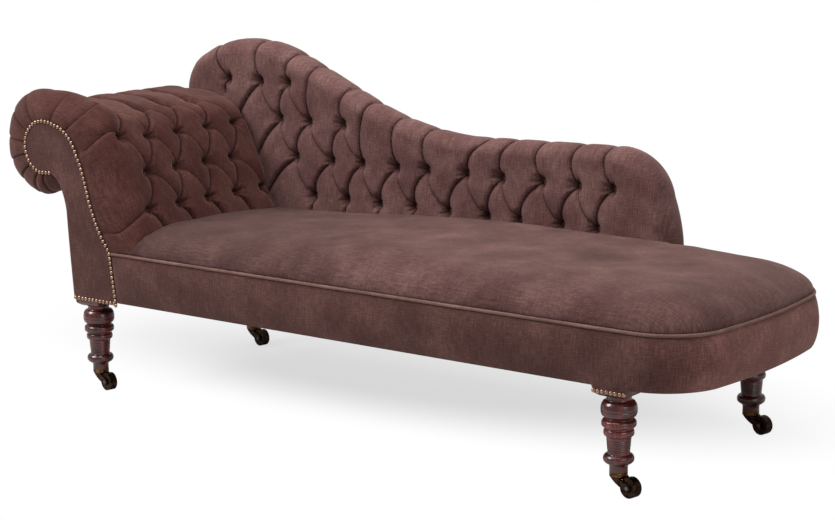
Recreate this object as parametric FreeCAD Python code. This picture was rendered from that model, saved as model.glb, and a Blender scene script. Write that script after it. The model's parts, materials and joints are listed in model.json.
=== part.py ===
"""Scroll-end fainting couch: a sprung frame on turned legs with castors, deep buttoned back and head.

Millimetres. +X runs from the scrolled head to the rounded foot, +Y to the back, +Z up from the floor.
The origin is on the floor, midway along the length and the depth.
"""
import FreeCAD, Part
import os
from math import atan2, cos, degrees, hypot, pi, radians, sin

V = FreeCAD.Vector

# Plan: leg positions and how far the upholstery reaches past them
leg_spacing = 1400.0
head_reach = 275.0
foot_reach = 205.0
leg_axis_y = 266.0
back_end_gap = 160.0

# Frame timber
leg_block = 72.0
rail_thick = 30.0
rail_bottom = 222.0
rail_top = 318.0
board_thick = 25.0
back_rail_thick = 28.0
back_rail_width = 55.0
corner_block_width = 60.0
back_lower_rail_width = 40.0
back_lower_rail_rise = 30.0
back_head_post_start = 20.0
back_head_post_width = 50.0
back_middle_post_start = 560.0
back_middle_post_width = 40.0
back_foot_post_set = 90.0
back_joint_set = 168.0
back_post_knee = 182.0
rail_ease = 2.0
volute_rail_size = 44.0
ridge_rail_size = 36.0
tack_rail_width = 24.0
tack_rail_height = 34.0

# Cloth, stuffing and trimmings
cloth_gap = 0.3
cloth_thick = 3.0
hessian_thick = 1.5
web_width = 50.0
web_thick = 1.5
web_pitch = 150.0
spring_radius = 38.0
spring_waist = 26.0
spring_sides = 10
spring_columns = 6
spring_row_y = 120.0
tack_margin = 5.0
cover_turn_in = 3.0
facing_overhang = 6.0
border_bottom = 218.0
border_top = 325.5
border_bulge = 12.0
piping_radius = 3.5
piping_sides = 8
arc_steps = 4

# Seat crown
seat_crown = 68.0
seat_crown_run = 150.0
seat_back_run = 0.65

# Foot end, in plan
foot_corner_r = 167.0
foot_corner_angle = 15.0
foot_under_r = 135.0
foot_under_angle = 10.0
foot_bow = 24.0
foot_under_bow = 13.0
foot_under_tuck = 16.0
foot_bulge_reach = 6.6
border_start = 20.0
seat_plug_inset = 2.0
seat_back_lap = 12.0

# Back and head stuffing
back_front_y = 190.0
back_edge_cover = 44.0
back_lip_fall = 33.0
back_panel_inset = 36.0
pad_base_z = 330.0
head_back_gap = 2.0
roll_front_rise = 10.0
roll_middle_fall = 16.0
roll_blend = 60.0
button_radius = 9.5
button_thick = 4.0
button_depth = 32.0
gathers = 9
dimple_radius = 27.0
pleat_depth = 15.0
pleat_knee = 6.0
pleat_steep = 0.75
pleat_shallow = 2.6
pleat_rise = 5.0
tuft_lean = -4.0

# Buttons of the back: lowest row first
back_row_z = 410.0
back_row_pitch = 88.0
back_tuft_pitch = 98.0
back_first_x = 265.0
# Each row: how many pitches left of the first button it starts, and its count
back_rows = ((0.0, 9), (0.5, 10), (1.0, 3), (2.5, 3))

# Buttons of the head: lowest row first, measured along the pad's profile
head_row_start = 102.0
head_row_pitch = 90.0
head_tuft_pitch = 95.0
head_first_y = -224.0
head_stagger = 40.0
head_row_counts = (5, 4, 5, 4)

# Legs
leg_block_foot = 203.0
leg_foot = 46.0
leg_chamfer = 6.0
leg_sides = 20

# Castors
wheel_radius = 20.0
wheel_width = 18.0
wheel_sides = 40
wheel_trail = 31.0
wheel_side = -6.0
axle_radius = 4.0
pintle_radius = 5.0
running_gap = 0.05
end_gap = 0.6
cheek_thick = 3.6
cheek_radius = 8.5
hub_radius = 13.5
plate_radius = 18.0
plate_bottom = 38.0
hub_bottom = 33.0
rivet_radius = 7.5
rivet_thick = 2.0
plate_clear = 0.2
disc_sides = 16

# Worked out from the sizes above
half_length = (head_reach + leg_spacing + foot_reach) / 2.0
head_x = head_reach - half_length
foot_x = half_length - foot_reach
face_y = leg_axis_y + leg_block / 2.0
rail_in_y = face_y - rail_thick
leg_in_y = leg_axis_y - leg_block / 2.0
back_reach = leg_spacing - back_end_gap
back_x = head_x + back_reach
back_foot_post_x = back_x - back_foot_post_set
back_joint_x = back_x - back_joint_set
foot_end_x = half_length - foot_bulge_reach
back_rail_y = face_y - back_rail_thick
pad_back_y = back_rail_y - hessian_thick - 2.0 * cloth_gap
head_back_y = back_front_y - head_back_gap
rear_board_y = head_back_y - cloth_thick
seat_base = rail_top + hessian_thick + 2.0 * cloth_gap
piping_z = border_top + cloth_gap + piping_radius
crown_base = piping_z + piping_radius + cloth_gap


def save(name, shape):
    """Write one sub-part."""
    shape.exportStep("parts/" + name + ".step")


def box(x0, x1, y0, y1, z0, z1):
    return Part.makeBox(x1 - x0, y1 - y0, z1 - z0, V(x0, y0, z0))


def curve(a, m, b):
    """An arc from a to b through m, or a line where the three are in line."""
    if (m - a).cross(b - m).Length < 1e-3:
        return Part.makeLine(a, b)
    return Part.Arc(a, m, b).toShape()


def run(points):
    """Edges through end, middle, end, middle, end points."""
    return [curve(points[i], points[i + 1], points[i + 2]) for i in range(0, len(points) - 2, 2)]


def lines(points):
    return [Part.makeLine(points[i], points[i + 1]) for i in range(len(points) - 1)]


def mid(a, b):
    return (a + b) * 0.5


def sampled(edges, steps):
    """Corner points along the edges, each edge in as many equal steps."""
    points = [q for edge in edges for q in edge.discretize(steps + 1)[:-1]]
    return points + [edges[-1].valueAt(edges[-1].LastParameter)]


def in_xz(pairs, y):
    """Profile pairs, lengthwise from the head legs' axis, as points at depth y."""
    return [V(head_x + x, y, z) for x, z in pairs]


def inset(pairs, distance):
    """Each profile point moved square to the profile, to its right as the profile runs."""
    moved = []
    for i, (x, z) in enumerate(pairs):
        x0, z0 = pairs[max(i - 1, 0)]
        x1, z1 = pairs[min(i + 1, len(pairs) - 1)]
        length = hypot(x1 - x0, z1 - z0)
        moved.append((x + (z1 - z0) / length * distance, z - (x1 - x0) / length * distance))
    return moved


def prism(edges, y0, y1):
    """A face bounded by the edges, drawn at depth y0, carried to y1."""
    face = Part.Face(Part.Wire(edges))
    return face.extrude(V(0.0, y1 - y0, 0.0))


def skin(sections):
    """A solid of flat faces through sections of equal point count, with a flat cap at each end."""
    faces = [Part.Face(Part.makePolygon(ring + ring[:1])) for ring in (sections[0], sections[-1])]
    for low, high in zip(sections, sections[1:]):
        for i in range(len(low)):
            j = (i + 1) % len(low)
            faces += flat_faces(low[i], low[j], high[j], high[i])
    return Part.Solid(Part.Shell(faces))


def flat_faces(a, b, c, d):
    """One flat face through four points, or two triangles where they aren't in a plane."""
    normal = (c - a).cross(d - b)
    if abs((b - a).dot(normal)) < 1e-5 * normal.Length:
        return [Part.Face(Part.makePolygon([a, b, c, d, a]))]
    return [Part.Face(Part.makePolygon([a, b, c, a])), Part.Face(Part.makePolygon([a, c, d, a]))]


def ring(centre, out, radius, sides):
    """Corners of a regular polygon about centre, square to out."""
    across = out.cross(V(0, 0, 1)) if abs(out.z) < 0.9 else out.cross(V(0, 1, 0))
    across.normalize()
    along = out.cross(across)
    turns = [2.0 * pi * i / sides for i in range(sides)]
    return [centre + across * (radius * cos(t)) + along * (radius * sin(t)) for t in turns]


def largest(shape):
    return max(shape.Solids, key=lambda s: s.Volume)


# Profiles, each as end, middle, end, middle, end points from the head legs' axis

# The scroll board's inner and upper edge, from the seat up and round the volute
scroll_edge = [(83, 334), (46, 392), (17, 474), (-1, 528), (-19, 565), (-45, 596), (-81, 612),
               (-100, 616.5), (-118, 618), (-161.8, 599.8), (-180, 556), (-161.8, 512.2),
               (-132, 495.6), (-117, 496.3), (-102, 497)]
# Its neck and outer edge, from under the volute down
scroll_outer = [(-102, 497), (-82, 487), (-67, 468), (-56, 440), (-50, 400), (-45, 320),
                (-36.5, border_bottom - facing_overhang)]
# The stuffing over it, point for point
head_edge = [(174, 334), (139, 424), (101, 512), (76, 566), (54, 603), (24, 635), (-20, 650),
             (-75, 661), (-140, 664), (-243, 633), (-275, 556), (-243, 479), (-166, 447),
             (-122, 459), (-84, 476)]
# The back's top line, from the shoulder over the crest and down to the foot end, for a reach of 1240
back_drawn_reach = 1240.0
back_drawn = [(-150, 622), (-154, 678), (-118, 723), (60, 773), (205, 742.5), (319.5, 691), (434, 639.5),
             (575, 598), (705, 582), (896, 586), (1087, 590), (1181, 553.5), (1216, 487),
             (1230, 440), (1238, 392)]
back_stretch = back_reach / back_drawn_reach
# The shoulder keeps its place by the roll, and the rest is drawn out with the reach
back_edge = back_drawn[:3] + [(x * back_stretch, z) for x, z in back_drawn[3:]]
# The back's hidden edge behind the scroll, up from the outer edge of the head
back_hidden = [(-50, 400), (-112, 520), (-150, 622)]


def legs_at():
    """The four legs: name, axis x, axis y."""
    return [("head_front", head_x, -leg_axis_y), ("head_rear", head_x, leg_axis_y),
            ("foot_front", foot_x, -leg_axis_y), ("foot_rear", foot_x, leg_axis_y)]


# Legs and castors

def leg(x, y):
    """A square head with a chamfered foot over one turned piece of bulb, rings, taper and ankle."""
    half = leg_block / 2.0
    small = half - leg_chamfer - 4.0
    neck_z = leg_block_foot - leg_chamfer
    head = skin([square(x, y, small, neck_z), square(x, y, half, leg_block_foot), square(x, y, half, rail_top)])
    turned = [(24, neck_z), (24, 186), (30.5, 183), (34.8, 175), (35, 163), (31.5, 155), (26, 151),
              (33, 148), (34, 143), (33, 137), (26, 134), (29, 130), (29, 119), (24, 115), (21.5, 81),
              (29, 76), (30, 71), (20, 61), (17.5, 58), (17.5, leg_foot)]
    spindle = skin([ring(V(x, y, z), V(0, 0, 1), r, leg_sides) for r, z in turned])
    return head.fuse(spindle)


def square(x, y, half, z):
    return [V(x + half * i, y + half * j, z) for i, j in ((-1, -1), (1, -1), (1, 1), (-1, 1))]


def disc(centre_x, centre_y, radius, z0, z1):
    """A short many-sided disc."""
    return skin([ring(V(centre_x, centre_y, z), V(0, 0, 1), radius, disc_sides) for z in (z0, z1)])


def castor_plate(x, y):
    """The ring under the leg, with the riveted pintle that the horn turns on."""
    plate = disc(x, y, plate_radius, plate_bottom, leg_foot)
    pintle_foot = hub_bottom - end_gap
    pintle = Part.makeCylinder(pintle_radius, plate_bottom - pintle_foot, V(x, y, pintle_foot))
    rivet = disc(x, y, rivet_radius, pintle_foot - rivet_thick, pintle_foot)
    return plate.fuse([pintle, rivet])


def trail_frame(shape, x, y):
    """Turn a castor piece drawn trailing along +X to its resting direction, at its leg."""
    shape.rotate(V(0, 0, 0), V(0, 0, 1), degrees(atan2(wheel_side, wheel_trail)))
    shape.translate(V(x, y, 0))
    return shape


def trail():
    return hypot(wheel_trail, wheel_side)


def castor_horn(x, y):
    """The swivelling horn: a hub on the pintle and two cheeks curved down to the axle."""
    half = wheel_width / 2.0 + end_gap
    hub_top = plate_bottom - plate_clear
    hub = disc(0, 0, hub_radius, hub_bottom, hub_top)
    reach = trail()
    knuckle = V(reach, 0, wheel_radius)
    turns = [radians(t) for t in (200, 245, 290, 335, 20, 60)]
    eye_edge = [knuckle + V(cheek_radius * cos(t), 0, cheek_radius * sin(t)) for t in turns]
    root = hub_radius - 1.0
    throat = sampled([curve(V(-root, 0, hub_top), V(2, 0, 26), eye_edge[0])], 4)[:-1]
    shoulder = sampled([curve(eye_edge[-1], V(22, 0, 32), V(root, 0, hub_top))], 4)[1:]
    outline = throat + eye_edge + shoulder
    cheek = Part.Face(Part.makePolygon(outline + outline[:1])).extrude(V(0, cheek_thick, 0))
    near = cheek.translated(V(0, -half - cheek_thick, 0))
    far = cheek.translated(V(0, half, 0))
    horn = hub.fuse([near, far])
    bore = Part.makeCylinder(pintle_radius + running_gap, 2 * wheel_radius, V(0, 0, hub_bottom - wheel_radius))
    eye = axle_bore(reach, half + cheek_thick + 1.0)
    return trail_frame(horn.cut([bore, eye]).removeSplitter(), x, y)


def axle_bore(reach, half):
    return Part.makeCylinder(axle_radius + running_gap, 2 * half, V(reach, -half, wheel_radius), V(0, 1, 0))


def castor_axle(x, y):
    half = wheel_width / 2.0 + end_gap + cheek_thick
    pin = Part.makeCylinder(axle_radius, 2 * half, V(trail(), -half, wheel_radius), V(0, 1, 0))
    return trail_frame(pin, x, y)


def castor_wheel(x, y):
    """A solid wheel, bored for its axle."""
    half = wheel_width / 2.0
    hub = V(trail(), 0, wheel_radius)
    out = V(0, 1, 0)
    blank = skin([ring(hub + out * w, out, wheel_radius, wheel_sides) for w in (-half, half)])
    return trail_frame(blank.cut(axle_bore(trail(), half + 1.0)), x, y)


# Seat frame

def foot_plan(z, offset, under, back_share=1.0, start=0.0):
    """Plan edges of the foot end, front to back, moved out by offset. under runs 0 at the top, 1 below."""
    r = foot_corner_r + (foot_under_r - foot_corner_r) * under
    angle = radians(foot_corner_angle + (foot_under_angle - foot_corner_angle) * under)
    bow = foot_bow + (foot_under_bow - foot_bow) * under
    end_x = foot_end_x - foot_under_tuck * under + offset
    r += offset
    side = face_y + 1.0 + offset
    back_side = face_y + 1.0 + offset * back_share
    join_x = end_x - bow
    centre_x = join_x - r * cos(angle)
    front = V(centre_x, -side + r, z)
    back = V(centre_x, back_side - r, z)
    turn = (pi / 2.0 + angle) / 2.0 - angle

    def on_front(a):
        return front + V(r * cos(a), -r * sin(a), 0)

    def on_back(a):
        return back + V(r * cos(a), r * sin(a), 0)

    start_x = foot_x - border_start - start
    points = [V(start_x, -side, z), mid(V(start_x, -side, z), on_front(pi / 2)), on_front(pi / 2),
              on_front(angle + turn), on_front(angle), V(end_x, (on_front(angle) + on_back(angle)).y / 2.0, z),
              on_back(angle), on_back(angle + turn), on_back(pi / 2),
              mid(V(start_x, back_side, z), on_back(pi / 2)), V(start_x, back_side, z)]
    return points


def foot_ring(z, offset, under):
    """The foot's plan as a closed run of corner points."""
    return sampled(run(foot_plan(z, offset, under)), arc_steps)


def foot_core(offset):
    """A straight-sided solid that stays within both the foot's upper and its under plan."""
    plans = [skin([foot_ring(z, offset, under) for z in (rail_bottom, rail_top)]) for under in (1.0, 0.0)]
    return plans[0].common(plans[1])


def straight_rail(x0, x1, y0, y1):
    return box(x0, x1, y0, y1, rail_bottom, rail_top)


def foot_rails():
    """The bowed foot rail and the two shaped corner blocks that join it to the foot legs."""
    half = leg_block / 2.0
    core = foot_core(-1.0)
    hollow = foot_core(-1.0 - rail_thick)
    block_x = foot_x + half
    beyond = box(block_x, half_length, -half_length, half_length, rail_bottom, rail_top)
    band = core.cut(hollow).common(beyond)
    corner_y = leg_in_y - corner_block_width
    middle = box(block_x, half_length, -corner_y, corner_y, rail_bottom, rail_top)
    end_rail = largest(band.common(middle))
    corners = band.cut(middle)
    front = min(corners.Solids, key=lambda s: s.CenterOfMass.y)
    back = max(corners.Solids, key=lambda s: s.CenterOfMass.y)
    return end_rail, front, back


def leg_heads(gap):
    """The four square leg heads, grown by a gap, as room for the covers to pass round them."""
    half = leg_block / 2.0 + gap
    return [box(x - half, x + half, y - half, y + half, 0.0, rail_top + gap) for name, x, y in legs_at()]


def springs():
    """Waisted coil springs, drawn as their outer form, standing on the webbing."""
    low = rail_bottom + cloth_gap
    high = rail_top
    middle = (low + high) / 2.0
    pitch = (foot_x - head_x - 2.0 * leg_block) / spring_columns
    group = []
    for i in range(spring_columns):
        x = head_x + leg_block + pitch * (i + 0.5)
        for y in (-spring_row_y, spring_row_y):
            rings = [(spring_radius, low), (spring_waist, middle), (spring_radius, high)]
            group.append(skin([ring(V(x, y, z), V(0, 0, 1), r, spring_sides) for r, z in rings]))
    return Part.makeCompound(group)


def webbing():
    """Strips tacked under the seat rails, crosswise and lengthwise."""
    z1 = rail_bottom
    z0 = z1 - web_thick
    strips = []
    side = face_y - tack_margin
    head_end = head_x - leg_block / 2 + tack_margin
    count = int((foot_x - head_x - leg_block) // web_pitch)
    first = (head_x + foot_x) / 2.0 - web_pitch * (count - 1) / 2.0
    for i in range(count):
        x = first + web_pitch * i
        strips.append(box(x - web_width / 2, x + web_width / 2, -side, side, z0, z1))
    for y in (-spring_row_y, spring_row_y):
        strips.append(box(head_end, foot_x + rail_thick / 2, y - web_width / 2, y + web_width / 2, z0, z1))
    return strips[0].fuse(strips[1:]).removeSplitter()


def seat_hessian():
    """The cloth over the springs, tacked to the tops of the rails."""
    z0 = rail_top
    side = face_y - tack_margin
    sheet = box(head_x + leg_block / 2, foot_x + rail_thick / 2, -side, side, z0, z0 + hessian_thick)
    head_clear = prism(scroll_closed(cloth_gap, -half_length), -half_length, half_length)
    posts = box(head_x, back_x, back_rail_y - 1.0, half_length, 0, half_length)
    return largest(sheet.cut([head_clear, posts]))


def bottom_cover():
    """The black cloth under the seat, cut round the legs."""
    points = foot_plan(border_bottom, -cover_turn_in, 1.0)
    x0 = head_x - leg_block / 2 + cover_turn_in
    corner = [points[-1], V(x0, points[-1].y, border_bottom), V(x0, points[0].y, border_bottom), points[0]]
    face = Part.Face(Part.Wire(run(points) + lines(corner)))
    thick = rail_bottom - web_thick - border_bottom - cloth_gap
    return face.extrude(V(0, 0, thick)).cut(leg_heads(1.0))


# Seat covers

def straight_border(x0, x1, side):
    """A padded strip on the rail's flat face, bowed out over its height. side is -1 front, 1 back."""
    y_in = side * (face_y + cloth_gap)
    y_edge = side * (face_y + cloth_gap + 1.0)
    y_out = side * (face_y + border_bulge + 1.0)
    z_mid = (border_bottom + border_top) / 2.0
    points = [V(x0, y_in, border_bottom), V(x0, y_edge, border_bottom), V(x0, y_edge, border_top),
              V(x0, y_in, border_top)]
    bow = curve(points[1], V(x0, y_out, z_mid), points[2])
    edges = lines(points[:2]) + [bow] + lines(points[2:]) + lines([points[3], points[0]])
    return Part.Face(Part.Wire(edges)).extrude(V(x1 - x0, 0, 0))


def foot_border():
    """The same strip carried round the foot, drawn in below."""
    height = border_top - border_bottom
    levels = []
    for share in (0.0, 0.25, 0.5, 0.75, 1.0):
        bulge = cloth_gap + 1.0 + (border_bulge - cloth_gap - 1.0) * 4.0 * share * (1.0 - share)
        levels.append(foot_ring(border_bottom + height * share, bulge - 1.0, (1.0 - share) ** 1.6))
    inner = skin([foot_ring(border_bottom - 1.0, cloth_gap - 1.0, 1.0),
                  foot_ring(border_top + 1.0, cloth_gap - 1.0, 0.0)])
    behind = box(0, foot_x - border_start, -half_length, half_length, 0, half_length)
    return largest(skin(levels).cut([inner, behind] + leg_heads(cloth_gap)))


def piping():
    """The cord along the border's top edge, from the scroll round the foot to the back."""
    points = foot_plan(piping_z, 0.0, 0.0)
    x0 = head_x + scroll_edge[0][0] + piping_radius
    x1 = back_x + 2.0 * piping_radius + 2.0
    path = lines([V(x0, points[0].y, piping_z), points[0]]) + run(points)
    path += lines([points[-1], V(x1, points[-1].y, piping_z)])
    corners = ring(V(x0, points[0].y, piping_z), V(1, 0, 0), piping_radius, piping_sides)
    return Part.Wire(path).makePipeShell([Part.makePolygon(corners + corners[:1])], True, True)


def seat_level(z, drawn):
    """The seat pad's outline at one height, drawn in from the piping all round but at head and back."""
    points = foot_plan(z, -1.5 - drawn, 0.0, seat_back_run, drawn * 0.2)
    lean = (z - head_edge[0][1]) * (head_edge[1][0] - head_edge[0][0]) / (head_edge[1][1] - head_edge[0][1])
    x_head = head_x + head_edge[0][0] + lean + head_back_gap
    x_back = back_x + seat_back_lap
    corner = [V(x_back, points[-1].y, z), V(x_back, head_back_y, z), V(x_head, head_back_y, z),
              V(x_head, points[0].y, z)]
    return sampled(run(points), arc_steps) + corner


def seat_pad():
    """The crowned seat: an elliptic crown over the piping and a plug within the border."""
    levels = []
    for angle in (0, 22, 42, 60, 76, 90):
        a = radians(angle)
        levels.append(seat_level(crown_base + seat_crown * sin(a), seat_crown_run * (1.0 - cos(a))))
    inner = 2.0 * piping_radius + seat_plug_inset
    plug = skin([seat_level(seat_base, inner), seat_level(crown_base, inner)])
    return skin(levels).fuse(plug)


# Head end

def scroll_closed(gap, y):
    """The scroll board's whole outline at depth y, grown by a gap."""
    low = border_bottom - facing_overhang - gap
    chain = in_xz(inset(scroll_edge + scroll_outer[1:], gap), y)
    start = scroll_edge[0]
    foot_in = V(head_x + start[0] + (start[1] - low) * 0.13 + gap, y, low)
    outer_low = V(chain[-1].x, y, low)
    edges = run(chain)
    if (chain[-1] - outer_low).Length > 1e-6:
        edges += lines([chain[-1], outer_low])
    return edges + lines([outer_low, foot_in, chain[0]])


def scroll_facing():
    """The flat covered panel on the front of the scroll, down over the leg's head."""
    y = -face_y - cloth_gap
    return prism(scroll_closed(0.0, y), y, y - cloth_thick)


def scroll_board(y0, y1, low=rail_top):
    """A scroll-shaped board standing on the seat frame, or a cover of the same shape."""
    whole = prism(scroll_closed(0.0, y0), y0, y1)
    below = box(-half_length, half_length, -half_length, half_length, 0, low)
    return whole.cut(below)


def head_rail(at, across, up):
    """A rail between the two scroll boards, centred on a point of their profile."""
    x = head_x + at[0]
    y0 = -face_y + board_thick
    y1 = rear_board_y - board_thick
    return box(x - across / 2, x + across / 2, y0, y1, at[1] - up / 2, at[1] + up / 2)


def head_rails():
    """Rails in the volute, under the ridge, at the foot of the slope and at the outer edge."""
    volute = head_rail((scroll_edge[8][0], scroll_edge[6][1] - 56), volute_rail_size, volute_rail_size)
    ridge = head_rail((scroll_outer[3][0] - 4, scroll_edge[5][1] - 29), ridge_rail_size, ridge_rail_size)
    slope_foot = (scroll_edge[0][0] - 29, rail_top + tack_rail_height / 2)
    tack_inner = head_rail(slope_foot, tack_rail_width, tack_rail_height)
    tack_outer = head_rail((scroll_outer[4][0] + 17, 420), tack_rail_width, tack_rail_height)
    return volute, ridge, tack_inner, tack_outer


def head_profile(rise):
    """The stuffed head's profile with the top of its roll raised, in proportion to height over the volute."""
    volute_z = scroll_edge[10][1]
    top_z = max(z for x, z in head_edge)
    return [(x, z + rise * max(0.0, z - volute_z) / (top_z - volute_z)) for x, z in head_edge]


def head_section(share, rise, y):
    """The head pad's outer profile at depth y: share 0 lies on the scroll board, 1 is full stuffing."""
    inner = inset(scroll_edge, cloth_gap)
    blend = [(a + (c - a) * share, b + (d - b) * share) for (a, b), (c, d) in zip(inner, head_profile(rise))]
    neck = V(head_x + scroll_outer[3][0] - 4, y, scroll_outer[2][1] - 1)
    heel = V(head_x + scroll_outer[5][0] + 5, y, scroll_edge[0][1])
    return sampled(run(in_xz(blend, y)), arc_steps) + [neck, heel]


def head_blank():
    """The stuffed head and its roll before buttoning, rounded over at its front edge."""
    stations = ((0.04, 0.0), (0.34, 4.0), (0.62, 14.0), (0.86, 32.0), (1.0, 62.0))
    front_y = -face_y - 1.0
    sections = [head_section(share, roll_front_rise, front_y + back) for share, back in stations]
    middle_y = front_y + stations[-1][1] + roll_blend
    for share, y in ((1.0, middle_y), (1.0, head_back_y - 25.0), (0.93, head_back_y)):
        sections.append(head_section(share, -roll_middle_fall, y))
    core = prism(scroll_closed(cloth_gap, -half_length), -half_length, half_length)
    return largest(skin(sections).cut(core))


def profile_at(edges, s):
    """Point and direction at length s along the edges."""
    for edge in edges:
        if s <= edge.Length or edge is edges[-1]:
            u = edge.getParameterByLength(min(s, edge.Length))
            return edge.valueAt(u), edge.tangentAt(u)
        s -= edge.Length


def head_place(edges, s, y):
    """Point on the head pad's surface and its outward direction."""
    p, t = profile_at(edges, s)
    return V(p.x, y, p.z), V(t.z, 0, -t.x)


def groove(stations):
    """A pleat as a cutter: a knife fold that opens into a soft shoulder, through the stations.

    Each station is a point on the surface, the outward direction and the depth of the fold.
    """
    sections = []
    last = len(stations) - 1
    for i, (p, out, depth) in enumerate(stations):
        ahead = stations[min(i + 1, last)][0] - stations[max(i - 1, 0)][0]
        side = ahead.cross(out)
        side.normalize()
        knee = min(pleat_knee, depth * 0.5)
        narrow = (depth - knee) * pleat_steep
        wide = narrow + (knee + pleat_rise) * pleat_shallow
        corners = [p + side * wide + out * pleat_rise, p + side * narrow - out * knee, p - out * depth,
                   p - side * narrow - out * knee, p - side * wide + out * pleat_rise]
        sections.append(corners)
    return skin(sections)


def pleat(a, b, out):
    """A pleat from button to button, shallow midway."""
    ends = button_depth - 4.0
    return groove([(a, out, ends), (mid(a, b), out, pleat_depth), (b, out, ends)])


def dimple(p, out):
    """The hollow that a button is pulled into."""
    base = p - out * (button_depth + cloth_gap)
    mouth = dimple_radius + pleat_rise * 0.5
    foot = ring(base, out, button_radius + 1.0, gathers)
    return skin([foot, ring(p + out * pleat_rise, out, mouth, gathers)])


def button(p, out):
    """A covered button at the bottom of its hollow, its edge drawn to as many gathers."""
    base = p - out * button_depth
    return skin([ring(q, out, button_radius, gathers) for q in (base, base + out * button_thick)])


def head_lattice():
    """Button places on the head pad: for each row, the points on the surface and their outward."""
    edges = run(in_xz(head_profile(-roll_middle_fall), 0.0))
    rows = []
    for i, count in enumerate(head_row_counts):
        s = head_row_start + head_row_pitch * i
        first = head_first_y + head_stagger * (i % 2)
        rows.append([head_place(edges, s, first + head_tuft_pitch * k) for k in range(count)])
    return edges, rows


def head_pleats(edges, rows):
    """Diamonds between the rows, straight pleats down to the seat and up over the roll."""
    cutters = []
    for i in range(len(rows) - 1):
        for p, out in rows[i]:
            for q, out2 in rows[i + 1]:
                if abs(p.y - q.y) < head_tuft_pitch * 0.75:
                    mean = out + out2
                    mean.normalize()
                    cutters.append(pleat(p, q, mean))
    top_s = head_row_start + head_row_pitch * (len(rows) - 1)
    for p, out in rows[0]:
        low, low_out = head_place(edges, 12.0, p.y)
        cutters.append(groove([(p, out, button_depth - 4.0), (low, low_out, pleat_depth * 0.8)]))
    for p, out in rows[-1]:
        near, near_out, deep = p, out, button_depth - 4.0
        for step in (50, 115, 180, 245, 310):
            far, far_out = head_place(edges, top_s + step, p.y)
            mean = near_out + far_out
            mean.normalize()
            cutters.append(groove([(near, mean, deep), (far, mean, pleat_depth * 0.7)]))
            near, near_out, deep = far, far_out, pleat_depth * 0.7
    return cutters


def head_pad():
    edges, rows = head_lattice()
    hollows = [dimple(p, out) for row in rows for p, out in row]
    return largest(head_blank().cut(hollows).cut(head_pleats(edges, rows)))


def head_buttons():
    edges, rows = head_lattice()
    return Part.makeCompound([button(p, out) for row in rows for p, out in row])


def head_outside():
    """The plain cloth on the outside of the head, from under the roll to the frame's foot."""
    near = scroll_outer[2:]
    inner = in_xz(inset(near, cloth_gap), -face_y)
    outer = in_xz(inset(near, cloth_gap + cloth_thick), -face_y)
    back_run = list(reversed(outer))
    edges = run(inner) + lines([inner[-1], back_run[0]]) + run(back_run) + lines([back_run[-1], inner[0]])
    past_back = box(-half_length, head_x, head_back_y, half_length, pad_base_z - 2.0, half_length)
    return prism(edges, -face_y, face_y).cut(past_back)


# Back

def back_ring(distance, y, low):
    """The back's whole outline at depth y, inset by a distance, down to the height low."""
    whole = in_xz(inset(back_hidden + back_edge[1:], distance), y)
    right = V(back_x - distance, y, low)
    left = V(whole[0].x, y, low)
    return sampled(run(whole), arc_steps) + [right, left]


def back_plate(distance, y0, y1, low):
    return skin([back_ring(distance, y, low) for y in (y0, y1)])


def back_blank():
    """The stuffed back before buttoning: rounded at its front edge, falling in a lip over the frame's top."""
    front = [(34.0, 0.0), (15.0, 7.0), (4.0, 18.0), (0.5, 36.0)]
    shares = ((0.15, 60.0), (0.37, 84.0), (0.6, 98.0), (1.0, 108.0))
    lip = [(back_lip_fall * share, back) for share, back in shares]
    whole = skin([back_ring(distance, back_front_y + back, pad_base_z) for distance, back in front + lip])
    room = back_plate(back_edge_cover, pad_back_y, half_length, pad_base_z - back_row_pitch)
    return largest(whole.cut(room))


def back_lattice():
    """Button places on the back, row by row from the seat up."""
    rows = []
    for i, (pitches, count) in enumerate(back_rows):
        x = head_x + (back_first_x - pitches * back_tuft_pitch) * back_stretch + tuft_lean * i
        z = back_row_z + back_row_pitch * i
        rows.append([V(x + back_tuft_pitch * back_stretch * k, back_front_y, z) for k in range(count)])
    return rows


def top_height(x):
    """Height of the back's top line at x."""
    upright = Part.makeLine(V(x, 0, back_row_z), V(x, 0, back_row_z + half_length))
    distance, pairs, info = Part.Wire(run(in_xz(back_edge, 0.0))).distToShape(upright)
    return max(pair[0].z for pair in pairs)


def back_pleats(rows):
    """Diamonds between the rows, pleats down to the seat and from each free button over the top edge."""
    out = V(0, -1, 0)
    cutters = []
    for i, row in enumerate(rows):
        above = rows[i + 1] if i + 1 < len(rows) else []
        for p in row:
            joined = [q for q in above if abs(p.x - q.x) < back_tuft_pitch * back_stretch * 0.75]
            cutters += [pleat(p, q, out) for q in joined]
            if not any(q.x > p.x for q in joined):
                cutters += over_top(p)
        if i == 0:
            for p in row:
                low = V(p.x, p.y, pad_base_z + 2.0)
                cutters.append(groove([(p, out, button_depth - 4.0), (low, out, pleat_depth * 0.8)]))
    return cutters


def over_top(p):
    """The pleat from a top button up the rounded edge, and on over the lip to its back."""
    front = V(0, -1, 0)
    up = V(0, 0, 1)
    x = p.x - 8.0
    z = top_height(x)
    rising = groove([(p, front, button_depth - 4.0), (V(x, back_front_y, z - 42.0), front, pleat_depth * 0.8),
                     (V(x, back_front_y, z + 2.0), front, pleat_depth * 1.7)])
    crossing = groove([(V(x, back_front_y + 2.0, z - 1.0), up, pleat_depth * 0.7),
                       (V(x, back_front_y + 60.0, z - 0.2 * back_lip_fall), up, pleat_depth * 0.5),
                       (V(x, back_front_y + 104.0, z - 0.9 * back_lip_fall), up, pleat_depth * 0.4)])
    return [rising, crossing]


def back_pad():
    rows = back_lattice()
    hollows = [dimple(p, V(0, -1, 0)) for row in rows for p in row]
    return largest(back_blank().cut(hollows).cut(back_pleats(rows)))


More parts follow.
